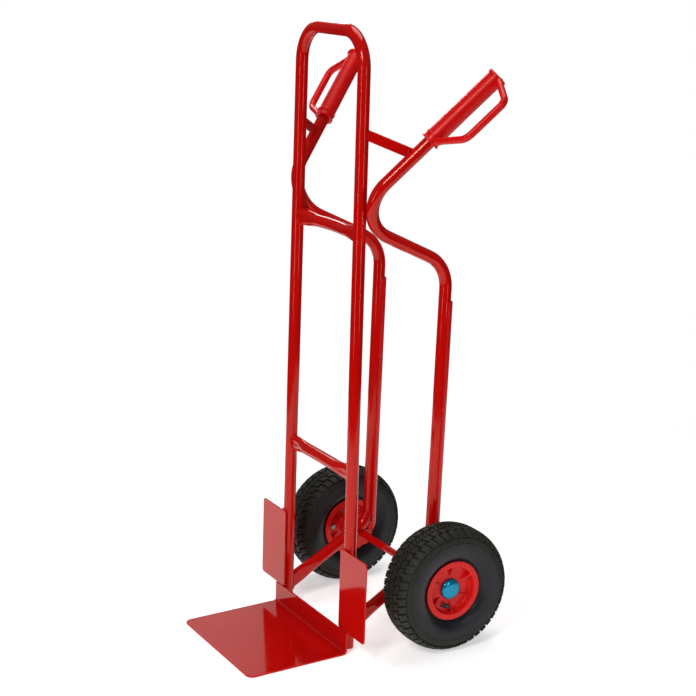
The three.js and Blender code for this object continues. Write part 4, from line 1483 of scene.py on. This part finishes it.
@dataclass
class Wheel:
    """A pneumatic wheel: treaded tyre, two rim halves, bolts, and the valve."""

    side: Side
    place: Matrix
    radius: float = 130 * MM
    half_width: float = 42.5 * MM
    rim_half_width: float = 32.5 * MM
    rim_lip_radius: float = 62 * MM
    rim_lip_thick: float = 3.2 * MM
    bead_radius: float = 50.4 * MM
    rim_wall: float = 3 * MM
    web_offset: float = 18 * MM
    hub_inboard: float = 34 * MM
    hub_bore: float = 14.3 * MM
    hub_radius: float = 20.3 * MM
    rib_inner: float = 28 * MM
    rib_thick: float = 2.6 * MM
    rib_count: int = 6
    lug_depth: float = 3.8 * MM
    lug_pitches: int = 45
    lug_slant: float = 0.5
    row_edges: tuple[float, ...] = (0.0, 0.16, 0.27, 0.38, 0.5, 0.65, 0.77, 0.89)
    centre_row: float = 7 * MM
    side_row: float = 9.4 * MM
    zigzag_row: tuple[float, float] = (22.2 * MM, 24.4 * MM)
    shoulder: float = 36 * MM
    block_floor: float = 116 * MM
    slant_floor: float = 117 * MM
    groove_fade: tuple[float, float] = (112 * MM, 115 * MM)
    rib_band: tuple[float, float] = (104.3 * MM, 112.5 * MM)
    crown_drop: float = 6.93e-5 * MM
    crown_power: float = 3.24
    section_stops: tuple[float, float] = (16 * MM, 30 * MM)
    block_soft: float = 0.6 * MM
    block_flank: float = 0.35 * MM
    shoulder_rib: tuple[float, float] = (0.3 * MM, 0.45 * MM)
    rim_soft: float = 1.3 * MM
    rim_edge: float = 1.7 * MM
    rim_fillet: float = 2.6 * MM
    bolt_shank_radius: float = 3 * MM
    bolt_overlap: float = 1 * MM
    valve_radius: float = 4 * MM
    valve_turns: tuple[float, float] = (-36, -22)
    valve_root: tuple[float, float] = (7 * MM, 8 * MM)
    valve_corner: float = 8 * MM
    valve_tip: tuple[float, float] = (12 * MM, 4.5 * MM)
    valve_cap_length: float = 9 * MM
    valve_cap_radius: float = 5 * MM
    valve_cap_edge: float = 0.5 * MM
    valve_cap_groove: tuple[float, float, float, float] = (2.2 * MM, 2.6 * MM, 3.2 * MM, 3.6 * MM)
    valve_cap_taper: tuple[float, float] = (1.3 * MM, 1.4 * MM)
    bolt_circle: float = 37 * MM
    bolt_count: int = 3
    bolt_across: float = 10 * MM
    bolt_head: float = 4 * MM
    bolt_tip: float = 11.5 * MM
    gap: float = 0.3 * MM

    def node(self, name: str) -> str:
        """The full name of one of this wheel's nodes."""
        return f"{self.side.word}_wheel_{name}"

    def build(self, shop: Workshop) -> None:
        """Makes every visible piece of the wheel.

        Args:
            shop: Where the finished pieces are placed.
        """
        self._tyre(shop)
        self._rim(shop, outboard=True)
        self._rim(shop, outboard=False)
        self._bolts(shop)
        self._valve(shop)

    # The tyre's section is given as (radius, z) pairs from the middle of the crown outwards.

    def crown(self, z: float) -> float:
        """Radius of the tread's top at a distance from the middle plane."""
        return self.radius - self.crown_drop * (abs(z) / MM) ** self.crown_power

    def _half_section(self) -> Outline:
        """Floor of the tread and the sidewall, from the middle plane to the bead.

        Returns:
            Pairs of radius and distance from the middle plane.
        """
        inner, outer = self.section_stops
        stops = [self.centre_row, self.side_row, inner, *self.zigzag_row, outer, self.shoulder]
        section = [(self.crown(z) - self.lug_depth, z) for z in [0.0, *stops]]
        wall = [(115.4, 38.2), (113.9, 39.9), (112.6, 40.7), (108.4, 41.7), (104.2, 42.2), (103.3, 42.4)]
        wall += [(102.8, 43.1), (101.8, 43.2), (101.2, 42.5), (96.0, 42.7), (88.0, 42.1), (80.0, 40.3)]
        wall += [(74.0, 37.6), (69.6, 34.6), (67.2, 32.4), (65.4, 30.2), (63.6, 28.8)]
        return section + [(radius * MM, z * MM) for radius, z in wall] + [(51 * MM, 28.4 * MM)]

    def _tyre(self, shop: Workshop) -> None:
        """The tyre: a zigzag groove and staggered bars each side of a middle row, ribbed shoulders.

        Args:
            shop: Where the finished pieces are placed.
        """
        half = self._half_section()
        outline = half + [(radius, -z) for radius, z in reversed(half[1:])]
        rows = self.lug_pitches * len(self.row_edges)
        bm = lathe(outline, Matrix.Identity(4), rows)
        blocks = [face for face in bm.faces if self._is_block(face, rows)]
        ribs = [face for face in bm.faces if self._is_shoulder_rib(face, rows)]
        self._slant(bm, rows)
        bmesh.ops.recalc_face_normals(bm, faces=bm.faces)
        for faces, thickness, depth in (
            (blocks, self.block_flank, self.lug_depth - self.block_soft),
            (blocks, self.block_soft, self.block_soft),
            (ribs, *self.shoulder_rib),
        ):
            bmesh.ops.inset_region(
                bm, faces=faces, use_boundary=True, use_even_offset=True, thickness=thickness, depth=depth
            )
        bmesh.ops.transform(bm, matrix=self.place, verts=bm.verts)
        shop.place(self.node("treaded_tyre"), bm, [self.node("tyre")], crease=32.0)

    @staticmethod
    def _row(face: BMFace, rows: int) -> int:
        """Which row round the tyre a face is in."""
        middle = face.calc_center_median()
        return int(math.atan2(middle.y, middle.x) % (2 * math.pi) / (2 * math.pi) * rows)

    def _is_block(self, face: BMFace, rows: int) -> bool:
        """True where a tread block stands: not in a groove round the tyre or across it.

        Args:
            face: The face to judge.
            rows: Number of rows of faces round the tyre.

        Returns:
            True where the face is the top of a block.
        """
        middle = face.calc_center_median()
        radius, z = math.hypot(middle.x, middle.y), abs(middle.z)
        if radius < self.block_floor or self.centre_row < z < self.side_row:
            return False
        row = self._row(face, rows) % len(self.row_edges)
        inner, outer = self.zigzag_row
        if z < self.centre_row:
            return row not in (0, 4)
        if inner < z < outer:
            return row > 4
        return row != (0 if z < inner else 4)

    def _is_shoulder_rib(self, face: BMFace, rows: int) -> bool:
        """True for every other strip of the band between the tread and the sidewall's ring.

        Args:
            face: The face to judge.
            rows: Number of rows of faces round the tyre.

        Returns:
            True where the face carries a rib.
        """
        middle = face.calc_center_median()
        low, high = self.rib_band
        on_band = low < math.hypot(middle.x, middle.y) < high and abs(middle.z) > self.shoulder
        return on_band and self._row(face, rows) % 2 == 0

    def _slant(self, bm: BMesh, rows: int) -> None:
        """Narrows the cross grooves and slants the blocks, the same way round on both sides.

        Args:
            bm: The mesh to work on.
            rows: Number of rows of faces round the tyre; not used.
        """
        pitch = 2 * math.pi / self.lug_pitches
        steps = len(self.row_edges)
        knots = [(0.0, 0.0), (self.centre_row, 0.2), (self.side_row, 0.06)]
        knots.append((self.shoulder, -self.lug_slant))
        for vert in bm.verts:
            radius, turn = math.hypot(vert.co.x, vert.co.y), math.atan2(vert.co.y, vert.co.x)
            inside = turn / pitch % 1.0
            edges = (*self.row_edges, 1.0)
            warped = edges[round(inside * steps)] - inside
            z = abs(vert.co.z)
            slant = next(
                (b + (d - b) * (z - a) / (c - a) for (a, b), (c, d) in zip(knots, knots[1:]) if a <= z <= c),
                -self.lug_slant,
            )
            if radius < self.slant_floor:
                slant = -self.lug_slant
            aside = math.copysign(slant, vert.co.z * slant)
            turn += pitch * (ease(radius, *self.groove_fade) * warped + aside)
            vert.co.x, vert.co.y = radius * math.cos(turn), radius * math.sin(turn)

    def _rim(self, shop: Workshop, outboard: bool) -> None:
        """One moulded rim half: rounded lip, dished web, hub, and six gussets.

        Args:
            shop: Where the piece goes.
            outboard: True for the half that faces away from the truck.
        """
        barrel, face, floor = self.bead_radius - self.gap, self.rim_half_width, self.web_offset
        lip_in = face - self.rim_lip_thick
        soft, edge, fillet = self.rim_soft, self.rim_edge, self.rim_fillet
        lip = self.rim_lip_radius - soft
        inside = barrel + 1.4 * MM
        outline = [(self.hub_bore, 0.15 * MM), (barrel, 0.15 * MM), (barrel, lip_in)]
        outline += arc((lip, lip_in + soft), soft, -60, 0, 4) + arc((lip, face - soft), soft, 0, 90, 6)
        outline += arc((inside, face - edge), edge, 90, 172, 7)
        outline += arc((barrel - fillet - 2.2 * MM, floor + fillet), fillet, 0, -90, 6)
        if outboard:
            outline += [(self.rib_inner, floor), (self.hub_bore, floor)]
        else:
            outline += arc((self.hub_radius + fillet, floor + fillet), fillet, -90, -180, 5)
            end, edge = self.hub_inboard, 0.6 * MM
            outline += [(self.hub_radius, end - edge), (self.hub_radius - edge, end), (self.hub_bore, end)]
        gussets = [self._gusset(360 / self.rib_count * i) for i in range(self.rib_count)]
        bm = merged([lathe(outline, Matrix.Identity(4), 96), *gussets])
        turn = Matrix.Identity(4) if outboard else Matrix.Diagonal((1.0, 1.0, -1.0, 1.0))
        bmesh.ops.transform(bm, matrix=self.place @ turn, verts=bm.verts)
        name, node = ("outer_rim_half", "outer_rim") if outboard else ("inner_rim_half", "inner_rim")
        shop.place(self.node(name), bm, [self.node(node)], crease=30.0)

    def _gusset(self, degrees: float) -> BMesh:
        """A thin wedge from the web's floor near the hub up to the rim's face.

        Args:
            degrees: Its angle about the axle.

        Returns:
            The wedge in the wheel's own axes.
        """
        barrel, floor, half = self.bead_radius - self.gap, self.web_offset, self.rib_thick / 2
        outline = [(self.rib_inner, floor - 1 * MM), (barrel - 1 * MM, floor - 1 * MM)]
        outline += [(barrel + 0.2 * MM, self.rim_half_width - 1.2 * MM), (self.rib_inner, floor + 1.4 * MM)]
        corners = [Vector((radius, -half, z)) for radius, z in outline]
        bm = soften(prism(corners, REARWARD * self.rib_thick), 0.7 * MM, 3)
        turn = Matrix.Rotation(math.radians(degrees), 3, "Z")
        bmesh.ops.rotate(bm, verts=bm.verts, cent=(0.0, 0.0, 0.0), matrix=turn)
        return bm

    def _hexagon(self, low: float, high: float, spot: Matrix) -> BMesh:
        """A hexagonal prism with its outer corners turned off.

        Args:
            low: Where it starts along its axis.
            high: Where it ends along its axis.
            spot: Its place in the truck's frame.

        Returns:
            The prism in place.
        """
        outer = self.bolt_across / math.sqrt(3)
        run = RingRun(Vector((0.0, 0.0, low)), UP, outer, 6).pull(high - low)
        bm = soften(run.close(), 0.5 * MM, 2, 50.0)
        bmesh.ops.transform(bm, matrix=spot, verts=bm.verts)
        return bm

    def _bolts(self, shop: Workshop) -> None:
        """The bolts that hold the rim halves together from the inboard side.

        Args:
            shop: Where the finished pieces are placed.
        """
        sector = math.pi / self.rib_count
        face = -self.web_offset - self.gap
        for i in range(self.bolt_count):
            turn = sector + 2 * math.pi / self.bolt_count * i
            away = Vector((math.cos(turn), math.sin(turn), 0.0)) * self.bolt_circle
            spot = self.place @ Matrix.Translation(away)
            head = self._hexagon(face - self.bolt_head, face, spot)
            low = face - self.bolt_overlap
            shank = RingRun(Vector((0.0, 0.0, low)), UP, self.bolt_shank_radius, 24)
            rod = soften(shank.pull(self.bolt_tip - low).close(), 0.4 * MM, 2, 60.0)
            bmesh.ops.transform(rod, matrix=spot, verts=rod.verts)
            bolt = merged([head, rod])
            shop.place(self.node(f"hex_bolt_{i + 1}"), bolt, [self.node(f"rim_bolt_{i + 1}")])

    def _polar(self, radius: float, degrees: float, z: float) -> Vector:
        """A point of the wheel from its radius, angle and distance outboard."""
        turn = math.radians(degrees)
        return Vector((radius * math.cos(turn), radius * math.sin(turn), z))

    def _valve(self, shop: Workshop) -> None:
        """The bent rubber-covered stem and its ribbed cap.

        Args:
            shop: Where the finished pieces are placed.
        """
        out, low = self.valve_root
        into, rise = self.valve_tip
        root_turn, tip_turn = self.valve_turns
        wall = self.bead_radius - self.rim_wall
        base = self._polar(self.bead_radius + out, root_turn, low)
        corner = self._polar(wall - self.valve_corner, root_turn, low)
        tip = self._polar(wall - into, tip_turn, self.web_offset + rise)
        run = RingRun(base, corner - base, self.valve_radius, 28)
        run.follow([corner, tip], [self.valve_radius], 8)
        along = run.heading
        stem = soften(run.close(), 0.5 * MM, 2, 60.0)
        bmesh.ops.transform(stem, matrix=self.place, verts=stem.verts)
        shop.place(self.node("bent_valve"), stem, [self.node("valve")])
        flat = along.cross(UP).normalized()
        spot = self.place @ axes(flat, along.cross(flat), along, tip + along * self.gap)
        length, radius, edge = self.valve_cap_length, self.valve_cap_radius, self.valve_cap_edge
        groove, taper = self.valve_cap_groove, self.valve_cap_taper
        outline = [(0.0, 0.0), (radius - edge, 0.0), (radius, edge)]
        outline += [(radius, groove[0]), (radius - edge, groove[1])]
        outline += [(radius - edge, groove[2]), (radius, groove[3])]
        outline += [(radius, length - taper[1]), (radius - taper[0], length), (0.0, length)]
        shop.place(self.node("ribbed_valve_cap"), lathe(outline, spot, 32), [self.node("valve_cap")])


# ------------------------------------------------------------------------------ studio


@dataclass(frozen=True)
class Softbox:
    """One soft studio light."""

    name: str
    place: tuple[float, float, float]
    aim: tuple[float, float, float]
    size: tuple[float, float]
    watts: float


@dataclass
class Studio:
    """Pale floor, soft light and the camera."""

    camera_place: tuple[float, float, float] = (2.7873, -1.5678, 1.4549)
    azimuth: float = 60.09
    downward: float = 15.0
    roll: float = 0.16
    lens: float = 84.94
    floor_radius: float = 1.7
    floor_glow: float = 0.5
    room_range: tuple[float, float] = (0.04, 0.13)
    panel_way: tuple[float, float, float] = (-0.90, 0.22, 0.375)
    panel_spread: tuple[float, float] = (0.955, 0.985)
    panel_glow: float = 0.75
    softboxes: tuple[Softbox, ...] = (
        Softbox("key_box", (1.5, -2.2, 2.5), (0.0, 0.0, 0.6), (0.9, 0.9), 48.0),
        Softbox("top_box", (-0.3, 0.5, 3.0), (0.0, 0.0, 0.0), (1.6, 1.6), 30.0),
        Softbox("rear_box", (-2.0, 0.7, 2.0), (0.0, 0.0, 0.8), (0.9, 0.5), 8.5),
        Softbox("left_strip", (2.1, 0.45, 0.75), (0.0, 0.0, 0.75), (0.18, 1.1), 5.0),
        Softbox("front_strip", (0.75, -2.0, 0.75), (0.0, 0.0, 0.75), (0.18, 1.1), 5.0),
    )

    def build(self) -> None:
        """Sets the floor, the surroundings, the lights and the camera."""
        self._floor()
        self._surroundings()
        for box in self.softboxes:
            self._light(box)
        self._camera()
        bpy.context.scene.view_settings.view_transform = "Standard"

    def _floor(self) -> None:
        """A pale sheet under the truck, white enough to run into the backdrop."""
        bm = bmesh.new()
        bmesh.ops.create_circle(bm, cap_ends=True, segments=96, radius=self.floor_radius)
        mesh = bpy.data.meshes.new("studio_floor")
        bm.to_mesh(mesh)
        bm.free()
        bench = ShaderBench("pale_floor")
        tone = bench.spread(bench.noise(2.0, 2.0), 0.0, 1.0)
        bench.feed(Base_Color=bench.blend(tone, (0.9, 0.9, 0.9), (0.92, 0.92, 0.92)))
        bench.set(Roughness=0.9, Specular_IOR_Level=0.0, Emission_Strength=self.floor_glow)
        bench.surface.inputs["Emission Color"].default_value = (1.0, 1.0, 1.0, 1.0)
        mesh.materials.append(bench.material)
        floor = bpy.data.objects.new("studio_floor", mesh)
        bpy.context.scene.collection.objects.link(floor)

    def _surroundings(self) -> None:
        """A white backdrop that lights and mirrors as a dim grey room with one brighter panel."""
        world = bpy.data.worlds.new("studio_world")
        world.use_nodes = True
        tree = world.node_tree
        backdrop = tree.nodes["Background"]
        backdrop.inputs["Color"].default_value = (1.0, 1.0, 1.0, 1.0)
        sky = tree.nodes.new("ShaderNodeTexCoord").outputs["Generated"]
        shares = []
        for way, start, full, low, high in (
            ((0.0, 0.0, 1.0), -0.12, 0.1, *self.room_range),
            (self.panel_way, *self.panel_spread, 0.0, self.panel_glow),
        ):
            facing = tree.nodes.new("ShaderNodeVectorMath")
            facing.operation = "DOT_PRODUCT"
            facing.inputs[1].default_value = way
            tree.links.new(sky, facing.inputs[0])
            ramp = tree.nodes.new("ShaderNodeMapRange")
            ramp.interpolation_type = "SMOOTHSTEP"
            for name, value in (("From Min", start), ("From Max", full), ("To Min", low), ("To Max", high)):
                ramp.inputs[name].default_value = value
            tree.links.new(facing.outputs["Value"], ramp.inputs["Value"])
            shares.append(ramp.outputs["Result"])
        room = tree.nodes.new("ShaderNodeMath")
        for share, socket in zip(shares, room.inputs):
            tree.links.new(share, socket)
        bright = tree.nodes.new("ShaderNodeMapRange")
        tree.links.new(tree.nodes.new("ShaderNodeLightPath").outputs["Is Camera Ray"], bright.inputs["Value"])
        tree.links.new(room.outputs["Value"], bright.inputs["To Min"])
        tree.links.new(bright.outputs["Result"], backdrop.inputs["Strength"])
        bpy.context.scene.world = world

    def _light(self, box: Softbox) -> None:
        """Adds one soft area light.

        Args:
            box: The light to set up.
        """
        light = bpy.data.lights.new(box.name, "AREA")
        light.shape = "RECTANGLE"
        light.size, light.size_y = box.size
        light.energy = box.watts
        lamp = bpy.data.objects.new(box.name, light)
        lamp.location = box.place
        way = Vector(box.aim) - Vector(box.place)
        lamp.rotation_euler = way.to_track_quat("-Z", "Y").to_euler()
        bpy.context.scene.collection.objects.link(lamp)

    def _camera(self) -> None:
        """The camera, looking down at the truck from its front left."""
        turn, dip, roll = (math.radians(a) for a in (self.azimuth, self.downward, self.roll))
        back = Vector((math.sin(turn) * math.cos(dip), -math.cos(turn) * math.cos(dip), math.sin(dip)))
        right = Vector((math.cos(turn), math.sin(turn), 0.0))
        upward = back.cross(right)
        rolled_right = right * math.cos(roll) + upward * math.sin(roll)
        rolled_up = upward * math.cos(roll) - right * math.sin(roll)
        camera = bpy.data.objects.new("camera", bpy.data.cameras.new("camera"))
        camera.data.sensor_width = 36.0
        camera.data.lens = self.lens
        camera.matrix_world = axes(rolled_right, rolled_up, back, Vector(self.camera_place))
        bpy.context.scene.collection.objects.link(camera)
        bpy.context.scene.camera = camera


def finishes(axle_centre: Vector) -> dict[Slot, bpy.types.Material]:
    """Makes the material of every slot.

    Args:
        axle_centre: Middle of the axle, about which the tyres' colour changes.

    Returns:
        Slot to material.
    """
    grip = MouldedPlastic("red_grip_plastic", (0.62, 0.0025, 0.0025), (0.70, 0.005, 0.005))
    rim = MouldedPlastic("red_rim_plastic", (0.60, 0.006, 0.006), (0.70, 0.010, 0.010), (0.2, 0.3))
    blue = StainedMetal("blue_cap_metal", (0.002, 0.2, 0.36), (0.006, 0.28, 0.46), (0.14, 0.24), 0.6)
    zinc = StainedMetal("zinc_plated_steel", (0.24, 0.24, 0.25), (0.4, 0.4, 0.41), (0.3, 0.45))
    return {
        Slot.RED_PAINT: PowderCoat().make(),
        Slot.GRIP_RED: grip.make(),
        Slot.RIM_RED: rim.make(),
        Slot.TYRE_RUBBER: TyreRubber(axle_centre.y, axle_centre.z).make(),
        Slot.BLACK_RUBBER: PlainRubber().make(),
        Slot.BLUE_METAL: blue.make(),
        Slot.ZINC_STEEL: zinc.make(),
        Slot.NYLON: MouldedNylon().make(),
    }


def main() -> None:
    """Builds the truck's pieces and the studio."""
    logging.basicConfig(level=logging.INFO, format="%(name)s: %(message)s")
    low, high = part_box("axle")
    centre = (low + high) / 2
    axle_to_foot = 183 * MM
    tyre_low, tyre_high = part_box("left_wheel_tyre")
    wheel_plane = (tyre_low.x + tyre_high.x) / 2
    shop = Workshop(finishes(centre), frame["record"])
    shop.dress_nodes()
    front = FrontFrame(foot_y=centre.y - axle_to_foot, height=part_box("front_frame_tube")[1].z)
    front.build(shop)
    Plates(front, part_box("toe_plate")[0].y).build(shop)
    tubes = {side: SideTube(front, side) for side in Side}
    gear = AxleGear(centre, front, tubes[Side.LEFT], wheel_plane)
    for side, tube in tubes.items():
        tube.build(shop)
        Grip(tube).build(shop)
        Wheel(side, gear.wheel_frame(side)).build(shop)
    gear.build(shop)
    Studio().build()
    LOG.info("%d pieces placed", shop.placed)


if __name__ == "__main__":
    main()
